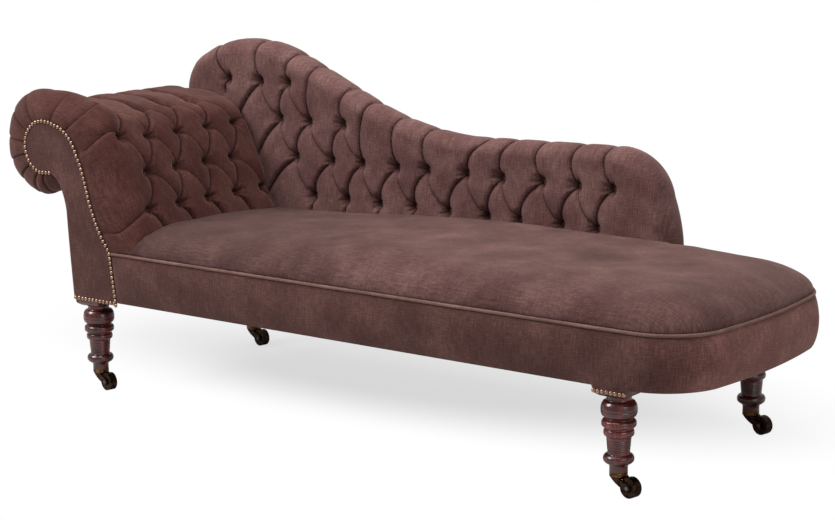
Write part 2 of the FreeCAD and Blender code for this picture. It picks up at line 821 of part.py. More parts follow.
def back_buttons():
    return Part.makeCompound([button(p, V(0, -1, 0)) for row in back_lattice() for p in row])


def rail_line(first, last, depth):
    """Corner points along the back's top line between two of its points, a depth under the stuffing's lip."""
    edge = inset(back_edge, back_edge_cover + rail_ease + depth)[first:last + 1]
    return sampled(run(in_xz(edge, back_rail_y)), arc_steps)


def timber(points):
    """A piece of the back's frame, cut to an outline."""
    return Part.Face(Part.makePolygon(points + points[:1])).extrude(V(0, back_rail_thick, 0))


def back_top_rail():
    """The shaped rail under the back's top line."""
    whole = timber(rail_line(2, 10, 0.0) + list(reversed(rail_line(2, 10, back_rail_width))))
    return whole.common(box(-half_length, back_joint_x, back_rail_y, face_y, rail_top, half_length))


def back_post(x0, x1):
    """An upright from the rear seat rail to the underside of the top rail."""
    edge = rail_line(2, 10, back_rail_width)
    region = timber(edge + [V(edge[-1].x, back_rail_y, rail_top), V(edge[0].x, back_rail_y, rail_top)])
    return region.common(box(x0, x1, back_rail_y, face_y, rail_top, half_length))


def back_foot_post():
    """The shaped upright that turns the top rail's line down to the seat rail."""
    edge = rail_line(8, 14, 0.0)
    region = timber(edge + [V(edge[-1].x, back_rail_y, rail_top), V(edge[0].x, back_rail_y, rail_top)])
    past_joint = box(back_joint_x, half_length, back_rail_y, face_y, rail_top, half_length)
    knee = box(-half_length, back_foot_post_x, back_rail_y, face_y, rail_top, rail_top + back_post_knee)
    return region.common(past_joint).cut(knee)


def back_hessian():
    """The cloth stretched over the front of the back's frame."""
    y0 = back_rail_y - hessian_thick
    return back_plate(back_edge_cover + tack_margin, y0, back_rail_y, seat_base)


def back_outside():
    """The plain cloth on the rear of the back, down over the rear seat rail."""
    y = face_y + cloth_gap
    whole = in_xz(inset(back_hidden + back_edge[1:], back_panel_inset), y)
    low_left = V(head_x + scroll_outer[-1][0], y, border_bottom)
    low_right = V(back_x, y, border_bottom)
    edges = run(whole) + lines([whole[-1], low_right, low_left, whole[0]])
    return prism(edges, y, y + cloth_thick)


def build():
    for name, x, y in legs_at():
        save("leg_" + name, leg(x, y))
        save("castor_horn_" + name, castor_horn(x, y))
        save("castor_axle_" + name, castor_axle(x, y))
        save("castor_wheel_" + name, castor_wheel(x, y))

    save("castor_plates", Part.makeCompound([castor_plate(x, y) for name, x, y in legs_at()]))

    half = leg_block / 2.0
    middle_x = (head_x + foot_x) / 2.0
    save("front_seat_rail", straight_rail(head_x + half, foot_x - half, -face_y, -rail_in_y))
    save("rear_seat_rail", straight_rail(head_x + half, foot_x - half, rail_in_y, face_y))
    save("head_seat_rail", straight_rail(head_x - half, head_x - half + rail_thick, -leg_in_y, leg_in_y))
    thin = rail_thick / 2
    save("foot_cross_rail", straight_rail(foot_x - thin, foot_x + thin, -leg_in_y, leg_in_y))
    save("seat_stretcher", box(middle_x - thin, middle_x + thin, -rail_in_y, rail_in_y,
                               rail_bottom, (rail_bottom + rail_top) / 2.0))
    end_rail, corner_front, corner_rear = foot_rails()
    save("foot_end_rail", end_rail)
    save("foot_corner_block_front", corner_front)
    save("foot_corner_block_rear", corner_rear)
    save("seat_springs", springs())
    save("seat_webbing", webbing())
    save("seat_hessian", seat_hessian())
    save("bottom_cover", bottom_cover())

    facing_room = prism(scroll_closed(cloth_gap, -half_length), -half_length, 0.0)
    start = foot_x - border_start
    save("front_border", largest(straight_border(head_x, start, -1).cut(facing_room)))
    save("rear_border", straight_border(back_x + cloth_gap, start, 1))
    save("foot_border", foot_border())
    save("seat_piping", piping())
    save("seat_pad", seat_pad())

    save("scroll_facing", scroll_facing())
    save("scroll_board_front", scroll_board(-face_y, -face_y + board_thick))
    save("scroll_board_rear", scroll_board(rear_board_y, rear_board_y - board_thick))
    rear_cloth_y = rear_board_y + cloth_gap
    save("scroll_rear_facing", scroll_board(rear_cloth_y, rear_cloth_y + cloth_thick, seat_base))
    volute, ridge, tack_inner, tack_outer = head_rails()
    save("volute_rail", volute)
    save("ridge_rail", ridge)
    save("head_tack_rail_inner", tack_inner)
    save("head_tack_rail_outer", tack_outer)
    save("head_pad", head_pad())
    save("head_buttons", head_buttons())
    save("head_outside_cover", head_outside())

    save("back_top_rail", back_top_rail())
    post_in = head_x + back_head_post_start + back_head_post_width
    middle_in = head_x + back_middle_post_start * back_stretch
    middle_out = middle_in + back_middle_post_width
    low = rail_top + back_lower_rail_rise
    high = low + back_lower_rail_width
    save("back_post_head", back_post(post_in - back_head_post_width, post_in))
    save("back_post_middle", back_post(middle_in, middle_out))
    save("back_post_foot", back_foot_post())
    save("back_lower_rail_head", box(post_in, middle_in, back_rail_y, face_y, low, high))
    save("back_lower_rail_foot", box(middle_out, back_foot_post_x, back_rail_y, face_y, low, high))
    save("back_hessian", back_hessian())
    save("back_pad", back_pad())
    save("back_buttons", back_buttons())
    save("back_outside_cover", back_outside())


os.makedirs("parts", exist_ok=True)
build()
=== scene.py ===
"""Fainting couch: buttoned velvet over a scroll-end frame, turned mahogany legs on castors.

Shapes are worked out in millimetres in the couch's own frame: +X from the scrolled head to the
rounded foot, +Y to the back, +Z up from the floor. They become metres when a mesh is made.
"""
import json
import bmesh
import bpy
import numpy as np
from mathutils import Matrix


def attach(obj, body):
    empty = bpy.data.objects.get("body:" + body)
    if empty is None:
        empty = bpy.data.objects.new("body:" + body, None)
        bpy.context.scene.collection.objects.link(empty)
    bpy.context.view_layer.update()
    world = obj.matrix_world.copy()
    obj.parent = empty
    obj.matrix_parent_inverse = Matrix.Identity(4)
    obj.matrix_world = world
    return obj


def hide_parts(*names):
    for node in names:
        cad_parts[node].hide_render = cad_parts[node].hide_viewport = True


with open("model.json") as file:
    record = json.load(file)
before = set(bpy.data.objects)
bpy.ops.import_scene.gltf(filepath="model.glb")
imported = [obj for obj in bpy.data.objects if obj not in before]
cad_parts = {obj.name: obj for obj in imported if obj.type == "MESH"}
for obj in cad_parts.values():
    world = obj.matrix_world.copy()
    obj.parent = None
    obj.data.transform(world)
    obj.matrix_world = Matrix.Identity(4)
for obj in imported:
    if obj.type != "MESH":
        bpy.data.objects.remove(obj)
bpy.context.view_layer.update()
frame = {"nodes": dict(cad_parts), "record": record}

BODY = "couch"
MM = 0.001
rng = np.random.default_rng(7)

# Sizes shared with the frame, in millimetres
HEAD_X = -665.0
FOOT_X = 735.0
LEG_Y = 266.0
FACE_Y = 302.0
BACK_X = 575.0
BORDER_BOTTOM = 218.0
BORDER_TOP = 325.5
PIPING_Z = 329.3
PIPING_R = 3.5
CROWN_BASE = 333.1
SEAT_BASE = 320.1
SEAT_CROWN = 68.0
SEAT_RUN = 150.0
BACK_FRONT_Y = 190.0
BACK_BASE_Z = 330.0
HEAD_REAR_Y = 188.0
CLOTH = 3.0
COVER_GAP = 0.3
HEAD_FOOT_Z = 334.0
SCROLL_LEAN = 0.13
PANEL_INSET = 37.0
BUTTON_RADIUS = 9.5
BUTTON_DOME = 5.5
BUTTON_SUNK = 26.5
NAIL_PITCH = 10.6

SCROLL_EDGE = [(83, 334), (46, 392), (17, 474), (-1, 528), (-19, 565), (-45, 596), (-81, 612),
               (-100, 616.5), (-118, 618), (-161.8, 599.8), (-180, 556), (-161.8, 512.2),
               (-132, 495.6), (-117, 496.3), (-102, 497)]
SCROLL_OUTER = [(-102, 497), (-82, 487), (-67, 468), (-56, 440), (-50, 400), (-45, 320), (-36.5, 212)]
HEAD_EDGE = [(174, 334), (139, 424), (101, 512), (76, 566), (54, 603), (24, 635), (-20, 650),
             (-75, 661), (-140, 664), (-243, 633), (-275, 556), (-243, 479), (-166, 447),
             (-122, 459), (-84, 476)]
BACK_EDGE = [(-146, 622), (-136, 680), (-100, 726), (60, 773), (205, 742.5), (319.5, 691), (434, 639.5),
             (575, 598), (705, 582), (896, 586), (1087, 590), (1181, 553.5), (1216, 487),
             (1230, 440), (1238, 392)]
BACK_HIDDEN = [(-50, 400), (-112, 520), (-146, 622)]


# Lines and grids

def arc(a, m, b, steps):
    """Points from a to b on the circle through m, at equal turns; a straight run where they are in line."""
    a, m, b = (np.asarray(p, float) for p in (a, m, b))
    p, q = m - a, b - a
    twice = 2.0 * (p[0] * q[1] - p[1] * q[0])
    t = np.linspace(0.0, 1.0, steps + 1)
    if abs(twice) < 1e-6 * (q @ q + 1.0):
        return a + q * t[:, None]
    centre = np.array([q[1] * (p @ p) - p[1] * (q @ q), p[0] * (q @ q) - q[0] * (p @ p)]) / twice
    start, middle, end = (np.arctan2(*(v - centre)[::-1]) for v in (0 * p, p, q))
    turn = 2.0 * np.pi
    sweep = (end - start) % turn
    if (middle - start) % turn > sweep:
        sweep -= turn
    angle = start + sweep * t
    return a + centre + np.hypot(*centre) * np.column_stack([np.cos(angle), np.sin(angle)])


def chain(points, steps=24):
    """A run of arcs through end, middle, end, middle, end points."""
    runs = [arc(*points[i:i + 3], steps)[:-1] for i in range(0, len(points) - 2, 2)]
    return np.vstack(runs + [np.array([points[-1]], float)])


def on_row(points):
    """Profile points, given from the head legs' axis, in the couch's own frame."""
    return np.asarray(points, float) + [HEAD_X, 0.0]


def inset(pairs, distance):
    """Each profile point moved square to the profile, to its right as the profile runs."""
    p = np.asarray(pairs, float)
    t = np.vstack([p[1:2] - p[:1], p[2:] - p[:-2], p[-1:] - p[-2:-1]])
    t /= np.linalg.norm(t, axis=1)[:, None]
    return p + np.column_stack([t[:, 1], -t[:, 0]]) * distance


def lengths(line):
    return np.r_[0.0, np.cumsum(np.linalg.norm(np.diff(line, axis=0), axis=1))]


def along(line, shares):
    """Points at shares 0 to 1 of a line's length."""
    s = lengths(line)
    return np.column_stack([np.interp(np.asarray(shares) * s[-1], s, column) for column in line.T])


def normals_2d(line):
    """Unit normals to the left of a flat line's direction."""
    t = np.gradient(line, axis=0)
    t /= np.linalg.norm(t, axis=1)[:, None] + 1e-12
    return np.column_stack([-t[:, 1], t[:, 0]])


def shares(length, step, start_fine=0.0, end_fine=0.0, rows=20):
    """Shares of a length at an even step, closing up over a fine stretch at either end."""
    easing = (np.arange(rows) / rows) ** 1.7
    middle = np.linspace(start_fine, length - end_fine, max(2, int((length - start_fine - end_fine) / step)))
    parts = [easing * start_fine] if start_fine else []
    parts.append(middle)
    if end_fine:
        parts.append(length - (easing * end_fine)[::-1])
    return np.concatenate(parts) / length


def patch(bottom, top, left, right, u, v):
    """A flat grid between four sides: the two blends across, less the blend of the four corners."""
    b, t = along(bottom, u)[:, None], along(top, u)[:, None]
    l, r = along(left, v)[None], along(right, v)[None]
    u, v = u[:, None, None], v[None, :, None]
    corners = ((1 - u) * (1 - v) * bottom[0] + u * (1 - v) * bottom[-1] + (1 - u) * v * top[0] + u * v * top[-1])
    return (1 - v) * b + v * t + (1 - u) * l + u * r - corners


def nearest(points, line):
    """Distance from each point to a flat line, the place on the line, and the side (+1 left, -1 right)."""
    a, step = line[:-1], np.diff(line, axis=0)
    size = (step ** 2).sum(1) + 1e-12
    s = lengths(line)
    distance, place, side = (np.empty(len(points)) for _ in range(3))
    for i in range(0, len(points), 20000):
        rel = points[i:i + 20000, None] - a
        t = np.clip((rel * step).sum(2) / size, 0.0, 1.0)
        gap = rel - step * t[..., None]
        d2 = (gap ** 2).sum(2)
        best = d2.argmin(1)
        row = np.arange(len(best))
        distance[i:i + 20000] = np.sqrt(d2[row, best])
        place[i:i + 20000] = s[best] + t[row, best] * np.sqrt(size[best])
        turn = step[best, 0] * rel[row, best, 1] - step[best, 1] * rel[row, best, 0]
        side[i:i + 20000] = np.sign(turn)
    return distance, place, side


def eased(value, start, stop):
    """0 to 1 from start to stop, level at both ends."""
    t = np.clip((value - start) / (stop - start), 0.0, 1.0)
    return t ** 2 * (3.0 - 2.0 * t)


def grid_normals(grid):
    """Unit normals of a grid of points: its two rates of change crossed."""
    n = np.cross(np.gradient(grid, axis=0), np.gradient(grid, axis=1))
    return n / (np.linalg.norm(n, axis=2)[..., None] + 1e-12)


def waves(points, size, height, seed):
    """Gentle unevenness: a sum of eight plane waves of about one size, each with its own turn and phase."""
    draw = np.random.default_rng(seed)
    total = np.zeros(len(points))
    for _ in range(8):
        angle, phase = draw.uniform(0, 2 * np.pi, 2)
        k = 2 * np.pi / (size * draw.uniform(0.7, 1.5))
        total += np.sin(k * (points[:, 0] * np.cos(angle) + points[:, 1] * np.sin(angle)) + phase)
    return total * height / 4.0


# Meshes

def quads(rows, columns, first=0, closed=False):
    """Faces of a grid whose points are counted row by row; closed joins the last column to the first."""
    i = np.arange(rows - 1)[:, None] * columns
    j = np.arange(columns if closed else columns - 1)[None]
    k = (j + 1) % columns
    return (np.stack([i + j, i + k, i + columns + k, i + columns + j], -1) + first).reshape(-1, 4)


def strip(row, new, closed=False):
    """Faces between two rows of point numbers; closed joins the ends of the rows."""
    if closed:
        return np.column_stack([row, np.roll(row, -1), np.roll(new, -1), new]).tolist()
    return np.column_stack([row[:-1], row[1:], new[1:], new[:-1]]).tolist()


def piece(name, points, faces, material, slot, replaces=(), cloth_uv=None, body=BODY, padded=None, smooth=True,
          crease=None):
    """One finished piece: its mesh in metres at the origin, its finish, its body and the nodes it stands for."""
    mesh = bpy.data.meshes.new(name)
    mesh.from_pydata((np.asarray(points) * MM).tolist(), [], [list(map(int, f)) for f in faces])
    if cloth_uv is not None:
        layer = mesh.uv_layers.new(name="cloth")
        corner = np.empty(len(mesh.loops), dtype=np.int32)
        mesh.loops.foreach_get("vertex_index", corner)
        layer.data.foreach_set("uv", (np.asarray(cloth_uv) * MM)[corner].astype(np.float32).ravel())
    # Painted shade: a float attribute on the points that the velvet reads to paint folds, button hollows and the seat's
    # dip darker
    if crease is not None:
        layer = mesh.attributes.new("crease", "FLOAT", "POINT")
        layer.data.foreach_set("value", np.r_[crease, np.zeros(len(points) - len(crease))].astype(np.float32))
    mesh.polygons.foreach_set("use_smooth", np.full(len(mesh.polygons), smooth))
    mesh.materials.append(material)
    obj = bpy.data.objects.new(name, mesh)
    bpy.context.scene.collection.objects.link(obj)
    tidy = bmesh.new()
    tidy.from_mesh(mesh)
    bmesh.ops.remove_doubles(tidy, verts=tidy.verts, dist=1e-6)
    bmesh.ops.recalc_face_normals(tidy, faces=tidy.faces)
    tidy.to_mesh(mesh)
    tidy.free()
    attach(obj, body)
    if replaces:
        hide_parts(*replaces)
    return obj


# Materials

def linear(code):
    """A screen colour as the light values that a shader takes."""
    c = np.array([int(code[i:i + 2], 16) / 255.0 for i in (1, 3, 5)])
    return (*np.where(c <= 0.04045, c / 12.92, ((c + 0.055) / 1.055) ** 2.4), 1.0)


def add(tree, kind, links=None, **settings):
    """A node with its settings, and its inputs set or linked by name or number."""
    node = tree.nodes.new(kind)
    for key, value in settings.items():
        setattr(node, key, value)
    for key, value in (links or {}).items():
        if isinstance(value, bpy.types.NodeSocket):
            tree.links.new(value, node.inputs[key])
        else:
            node.inputs[key].default_value = value
    return node


def new_material(name, **surface):
    material = bpy.data.materials.new(name)
    material.use_nodes = True
    tree = material.node_tree
    shader = tree.nodes["Principled BSDF"]
    for key, value in surface.items():
        shader.inputs[key.replace("_", " ")].default_value = value
    return material, tree, shader


def ramp(tree, factor, stops):
    """Colours or greys by position; each stop is a place and a colour."""
    node = add(tree, "ShaderNodeValToRGB", {"Fac": factor})
    while len(node.color_ramp.elements) < len(stops):
        node.color_ramp.elements.new(0.5)
    for element, (place, colour) in zip(node.color_ramp.elements, stops):
        element.position = place
        element.color = colour
    return node.outputs["Color"]


def noise(tree, vector, scale, detail=2.0, roughness=0.5, stretch=None):
    """Noise over a vector, multiplied first by the stretch where there is one."""
    if stretch:
        vector = add(tree, "ShaderNodeMapping", {"Vector": vector, "Scale": stretch}).outputs["Vector"]
    links = {"Vector": vector, "Scale": scale, "Detail": detail, "Roughness": roughness}
    return add(tree, "ShaderNodeTexNoise", links).outputs["Fac"]


def between(tree, share, a, b):
    return add(tree, "ShaderNodeMix", {"Factor": share, 2: a, 3: b}).outputs[0]


def position(tree):
    return add(tree, "ShaderNodeTexCoord").outputs["Object"]


def surface(tree, shader, colour, height=None, strength=0.0, distance=0.0):
    """The colour, and a bump where a height is given, linked to the shader."""
    tree.links.new(colour, shader.inputs["Base Color"])
    if height is not None:
        bump = add(tree, "ShaderNodeBump", {"Strength": strength, "Distance": distance, "Height": height})
        tree.links.new(bump.outputs["Normal"], shader.inputs["Normal"])


def velvet(name, dark, middle, light, lengthwise=False, sheen=0.3, head_shade=1.0, end_light=1.0):
    """Cotton velvet with a cut pile: warm brown, with rows of pile that show as fine streaks along
    the cloth, cloudy patches where the pile lies differently, and a soft bloom at grazing angles.
    In the folds, the button hollows and the seat's dip, by the crease attribute, the colour is mixed toward
    near-black as painted shade. head_shade is how much darker the colour is painted at the head end than at the foot
    (painted shade), end_light how much lighter it is painted round the foot's end (painted light)."""
    material, tree, shader = new_material(name, Roughness=0.9, Sheen_Weight=sheen, Sheen_Roughness=0.5)
    shader.inputs["Specular IOR Level"].default_value = 0.08
    shader.inputs["Sheen Tint"].default_value = linear("#c2a49c")
    uv = add(tree, "ShaderNodeUVMap", uv_map="cloth").outputs["UV"]
    # Pile rows 1.2 mm apart are too fine to show, so the streaks are about 3 mm apart and 30 mm long
    rows, cross = (34.0, 360.0, 1.0), (330.0, 60.0, 1.0)
    if not lengthwise:
        rows, cross = (360.0, 34.0, 1.0), (60.0, 330.0, 1.0)
    mixed = between(tree, 0.38, noise(tree, uv, 1.0, 4.0, 0.65, rows), noise(tree, uv, 1.0, 2.0, 0.6, cross))
    mixed = between(tree, 0.3, mixed, noise(tree, uv, 520.0))
    mixed = between(tree, 0.31, mixed, noise(tree, uv, 9.0, 3.0, 0.55))
    colour = ramp(tree, mixed, [(0.38, linear(dark)), (0.5, linear(middle)), (0.62, linear(light))])
    place = add(tree, "ShaderNodeSeparateXYZ", {0: position(tree)}).outputs["X"]
    # Painted shade and light: the colour is painted darker toward the head end by head_shade and lighter round the
    # foot's end by end_light
    painted_end_shade_light = add(tree, "ShaderNodeMapRange", {"Value": place, 1: -0.55, 2: 0.15, 3: head_shade, 4: 1.0}).outputs[0]
    turned = add(tree, "ShaderNodeMapRange", {"Value": place, 1: 0.83, 2: 0.92, 3: 1.0, 4: end_light}).outputs[0]
    painted_end_shade_light = add(tree, "ShaderNodeMath", {0: painted_end_shade_light, 1: turned}, operation="MULTIPLY").outputs[0]
    colour = add(tree, "ShaderNodeVectorMath", {0: colour, 3: painted_end_shade_light}, operation="SCALE").outputs[0]
    # Painted shade: by the crease attribute the colour is mixed toward near-black in folds, button hollows and the
    # seat's dip
    crease = add(tree, "ShaderNodeAttribute", attribute_name="crease").outputs["Fac"]
    painted_shade_mix = {"Factor": crease, 6: colour, 7: linear("#1c0b0a")}
    painted_shade_colour = add(tree, "ShaderNodeMix", painted_shade_mix, data_type="RGBA").outputs[2]
    bloom = add(tree, "ShaderNodeMath", {0: 1.0, 1: crease}, operation="SUBTRACT").outputs[0]
    bloom = add(tree, "ShaderNodeMath", {0: bloom, 1: sheen}, operation="MULTIPLY").outputs[0]
    tree.links.new(bloom, shader.inputs["Sheen Weight"])
    surface(tree, shader, painted_shade_colour, mixed, 0.4, 0.0012)
    return material


def mahogany():
    """French-polished mahogany, turned: near-black grain lines over red-brown, under a clear shellac gloss."""
    material, tree, shader = new_material("polished_mahogany", Roughness=0.32, Coat_Weight=0.45, Coat_Roughness=0.1)
    place = position(tree)
    grain = noise(tree, place, 1.0, 5.0, 0.6, (260.0, 260.0, 14.0))
    mixed = between(tree, 0.4, grain, noise(tree, place, 26.0, 3.0))
    stops = [(0.36, linear("#240a09")), (0.5, linear("#481614")), (0.66, linear("#78281f"))]
    surface(tree, shader, ramp(tree, mixed, stops), grain, 0.15, 0.0004)
    return material


def metal(name, dark, light, rough, scale):
    """Cast brass: dark where the old lacquer and dirt stay, brighter where it is rubbed."""
    material, tree, shader = new_material(name, Metallic=1.0, Roughness=rough)
    spots = noise(tree, position(tree), scale, 4.0)
    surface(tree, shader, ramp(tree, spots, [(0.38, linear(dark)), (0.62, linear(light))]), spots, 0.2, 0.0003)
    return material


def plain_weave(name, dark, light, thread):
    """Woven jute or cotton in plain weave: over and under at one thread spacing both ways."""
    material, tree, shader = new_material(name, Roughness=0.9)
    place = position(tree)
    sets = []
    for axis in ("X", "Y"):
        node = add(tree, "ShaderNodeTexWave", {"Vector": place, "Scale": 0.3183 * np.pi / thread, "Distortion": 1.0,
                                               "Detail": 2.0}, bands_direction=axis)
        sets.append(node.outputs["Fac"])
    mixed = add(tree, "ShaderNodeMath", {0: sets[0], 1: sets[1]}, operation="MULTIPLY").outputs[0]
    surface(tree, shader, ramp(tree, mixed, [(0.1, linear(dark)), (0.8, linear(light))]))
    return material


def frame_timber():
    """Unfinished beech: pale, with short fine flecks along the piece."""
    material, tree, shader = new_material("frame_beech", Roughness=0.65)
    grain = noise(tree, position(tree), 1.0, 4.0, 0.5, (20.0, 200.0, 200.0))
    surface(tree, shader, ramp(tree, grain, [(0.4, linear("#9a7448")), (0.6, linear("#c49a66"))]))
    return material


# One velvet in lit and shaded copies, each painted lighter or darker for how the light falls on its part: the back and
# seat lighter, the head and the sides darker. The sides' copy also has painted light round the foot's end, the seat's
# copy painted shade toward the head.
VELVET_SHADED_SIDES = velvet("velvet_shaded_sides", "#341f1c", "#4a302d", "#664842", end_light=2.2)
VELVET_LIT_BACK = velvet("velvet_lit_back", "#462c2a", "#604341", "#7d5f59")
VELVET_LIT_SEAT = velvet("velvet_lit_seat", "#382220", "#503735", "#6d504b", lengthwise=True, head_shade=0.54)
VELVET_SHADED_HEAD = velvet("velvet_shaded_head", "#331815", "#462824", "#5e3d37")
MAHOGANY = mahogany()
NAIL_BRASS = metal("antiqued_nail_brass", "#7a5a48", "#c0a08a", 0.34, 900.0)
CASTOR_BRONZE = metal("darkened_castor_brass", "#1c1310", "#4a3226", 0.42, 160.0)
RING_BRASS = metal("aged_castor_ring", "#4a2f1c", "#8a6238", 0.35, 200.0)
SPRING_STEEL = metal("spring_steel", "#4a4a4c", "#7d7e80", 0.4, 90.0)
BEECH = frame_timber()
HESSIAN = plain_weave("jute_hessian", "#5b452a", "#a98f63", 0.004)
DUST_CLOTH = plain_weave("black_dust_cloth", "#0c0c0d", "#26262a", 0.002)

SLOT_FINISH = {"velvet": VELVET_SHADED_SIDES, "polished_mahogany": MAHOGANY, "frame_wood": BEECH, "dark_bronze": CASTOR_BRONZE,
               "aged_brass": RING_BRASS, "steel": SPRING_STEEL, "jute": HESSIAN, "black_cloth": DUST_CLOTH}
for part in frame["record"]["subparts"]:
    node = frame["nodes"][part["node"]]
    node.data.materials.clear()
    node.data.materials.append(SLOT_FINISH[part["material_slot"]])


# Buttoned cloth

def fold(share):
    """Height lost beside a fold: a quarter circle's fall, upright at the fold and level at its reach."""
    return 1.0 - np.sqrt(np.clip(1.0 - (1.0 - share) ** 2, 0.0, 1.0))


def bowed(a, b, bow, depths, fold_shade_share=1.0, count=12):
    """A fold's line from a to b, a parabola bowed sideways, with its depth at start, middle and end, and a share for
    how dark its painted shade line is.
    """
    t = np.linspace(0.0, 1.0, count + 1)[:, None]
    a, b = np.asarray(a, float), np.asarray(b, float)
    line = a + (b - a) * t + np.asarray(bow, float) * 4.0 * t * (1.0 - t)
    depth = np.interp(t[:, 0], [0.0, 0.28, 0.5, 0.72, 1.0],
                      [depths[0], depths[1] * 1.15, depths[1], depths[1] * 1.15, depths[2]])
    return line, depth, fold_shade_share


def drawn_in(points, folds, buttons, lip=11.0, soft=38.0, mouth=31.0, deep=31.0, tight=1.5):
    """How far the cloth is drawn in, and how much painted shade lies along its folds and in the button
    hollows. Beside each fold it falls as the quarter circle does, over a short reach on the fold's overlapping side and
    a long one on the other; round each button it falls as (1 - r / mouth) to the power 1.7 with faint radial puckers, r
    counting 1.6 times on the side where the next pillow overlaps. The deepest of all of these holds."""
    total, dark = np.zeros(len(points)), np.zeros(len(points))
    for line, depth, fold_shade_share in folds:
        near = np.where(((points > line.min(0) - soft) & (points < line.max(0) + soft)).all(1))[0]
        if not len(near):
            continue
        distance, place, side = nearest(points[near], line)
        reach = np.where(side > 0, lip, soft)
        at = np.interp(place, lengths(line), depth)
        total[near] = np.maximum(total[near], at * fold(np.clip(distance / reach, 0.0, 1.0)))
        # Painted shade: a thin dark line along each fold, and a softer band beside it
        fold_line_shade = np.clip(at / 6.0, 0.0, 1.0) * fold_shade_share
        dark[near] = np.maximum(dark[near], fold_line_shade * np.exp(-(distance / tight) ** 2))
        shade = 0.15 * np.clip(at / 20.0, 0.0, 1.0) * np.exp(-distance / 7.0)
        dark[near] = np.maximum(dark[near], shade)
    for centre in buttons:
        rel = points - centre
        turn = np.arctan2(rel[:, 1], rel[:, 0])
        rel[:, 0] *= np.where(rel[:, 0] > 0.0, 1.6, 1.0)
        r = np.hypot(*rel.T)
        near = np.where(r < mouth)[0]
        share = r[near] / mouth
        pucker = 1.5 * np.sin(9.0 * turn[near] + centre[0]) * share * (1.0 - share) ** 1.5 * 5.0
        bowl = np.minimum(deep * (1.0 - share) ** 1.7, deep * 0.93) + pucker
        total[near] = np.maximum(total[near], bowl)
        # Painted shade in each button hollow, darkest toward the button and a little uneven round it
        ray = 0.75 + 0.25 * np.sin(9.0 * turn[near] + centre[0])
        dark[near] = np.maximum(dark[near], np.clip(1.15 - share * 1.9, 0.0, 1.0) * ray)
    return total, np.clip(dark, 0.0, 1.0)


def domes(places, directions, radius, height, sides=14, rings=4):
    """Domed discs: circles that shrink as a cosine while they rise as a sine, on the given places."""
    points, faces = [], []
    up = np.linspace(0.0, np.pi / 2.0, rings + 1)[:-1]
    turns = np.arange(sides) * 2.0 * np.pi / sides
    for place, out in zip(places, directions):
        out = np.asarray(out, float) / np.linalg.norm(out)
        side = np.cross(out, [0.0, 0.0, 1.0] if abs(out[2]) < 0.9 else [0.0, 1.0, 0.0])
        side /= np.linalg.norm(side)
        other = np.cross(out, side)
        first = len(points)
        for a in up:
            for t in turns:
                outward = side * np.cos(t) + other * np.sin(t)
                points.append(place + radius * np.cos(a) * outward + out * height * np.sin(a))
        points.append(place + out * height)
        faces += quads(rings, sides, first, closed=True).tolist()
        last = first + (rings - 1) * sides
        faces += [[last + j, last + (j + 1) % sides, len(points) - 1] for j in range(sides)]
        faces.append(list(range(first, first + sides))[::-1])
    return np.array(points), faces


def closed_piece(name, grid, uv, walls, extra_faces, **facts):
    """A grid with more points after it; walls are rows of point numbers that strips join."""
    points, cloth = [grid.reshape(-1, 3)], [uv.reshape(-1, 2)]
    faces = quads(*grid.shape[:2]).tolist()
    count = len(points[0])
    row = None
    for index, (wall, wall_uv) in enumerate(walls):
        if index == 0:
            row = wall
            continue
        numbers = np.arange(len(wall)) + count
        points.append(wall)
        cloth.append(wall_uv)
        faces += strip(row, numbers)
        row = numbers
        count += len(wall)
    faces += extra_faces(row)
    return piece(name, np.vstack(points), faces, cloth_uv=np.vstack(cloth), **facts)


# The buttoned back

BACK_BUTTONS = [[(-400, 410), (-299, 411), (-202, 409), (-102, 411), (-5, 410), (104, 409),
                 (189, 410), (300, 411), (390, 410)],
                [(-453, 499), (-343, 498), (-252, 500), (-150, 499), (-63, 499), (46, 500), (143, 499), (250, 500),
                 (342, 499), (430, 499)],
                [(-501, 587), (-411, 586), (-308, 587)],
                [(-663, 675), (-561, 674), (-474, 674)]]
# Where the folds cross the top edge, left to right
BACK_CROSSINGS = [(-706, 756), (-566, 769), (-462, 741), (-401, 718), (-302, 669), (-240, 638), (-155, 606), (-66, 587),
                  (13, 579), (93, 581), (160, 583), (243, 581), (336, 588), (414, 590)]


# Where the lowest left folds meet the head, by button
BACK_JOIN = [((-663, 675), (-672, 650)), ((-561, 674), (-618, 603)), ((-501, 587), (-561, 509)),
             ((-453, 499), (-520, 432))]


def back_sides():
    edge = on_row(chain(BACK_EDGE))
    hidden = on_row(chain(BACK_HIDDEN))
    left = np.vstack([[hidden[0, 0], BACK_BASE_Z], hidden[:-1], edge[:25]])
    right = np.vstack([[BACK_X, BACK_BASE_Z], edge[132:][::-1]])
    bottom = np.array([left[0], right[0]])
    return bottom, edge[24:133], left, right


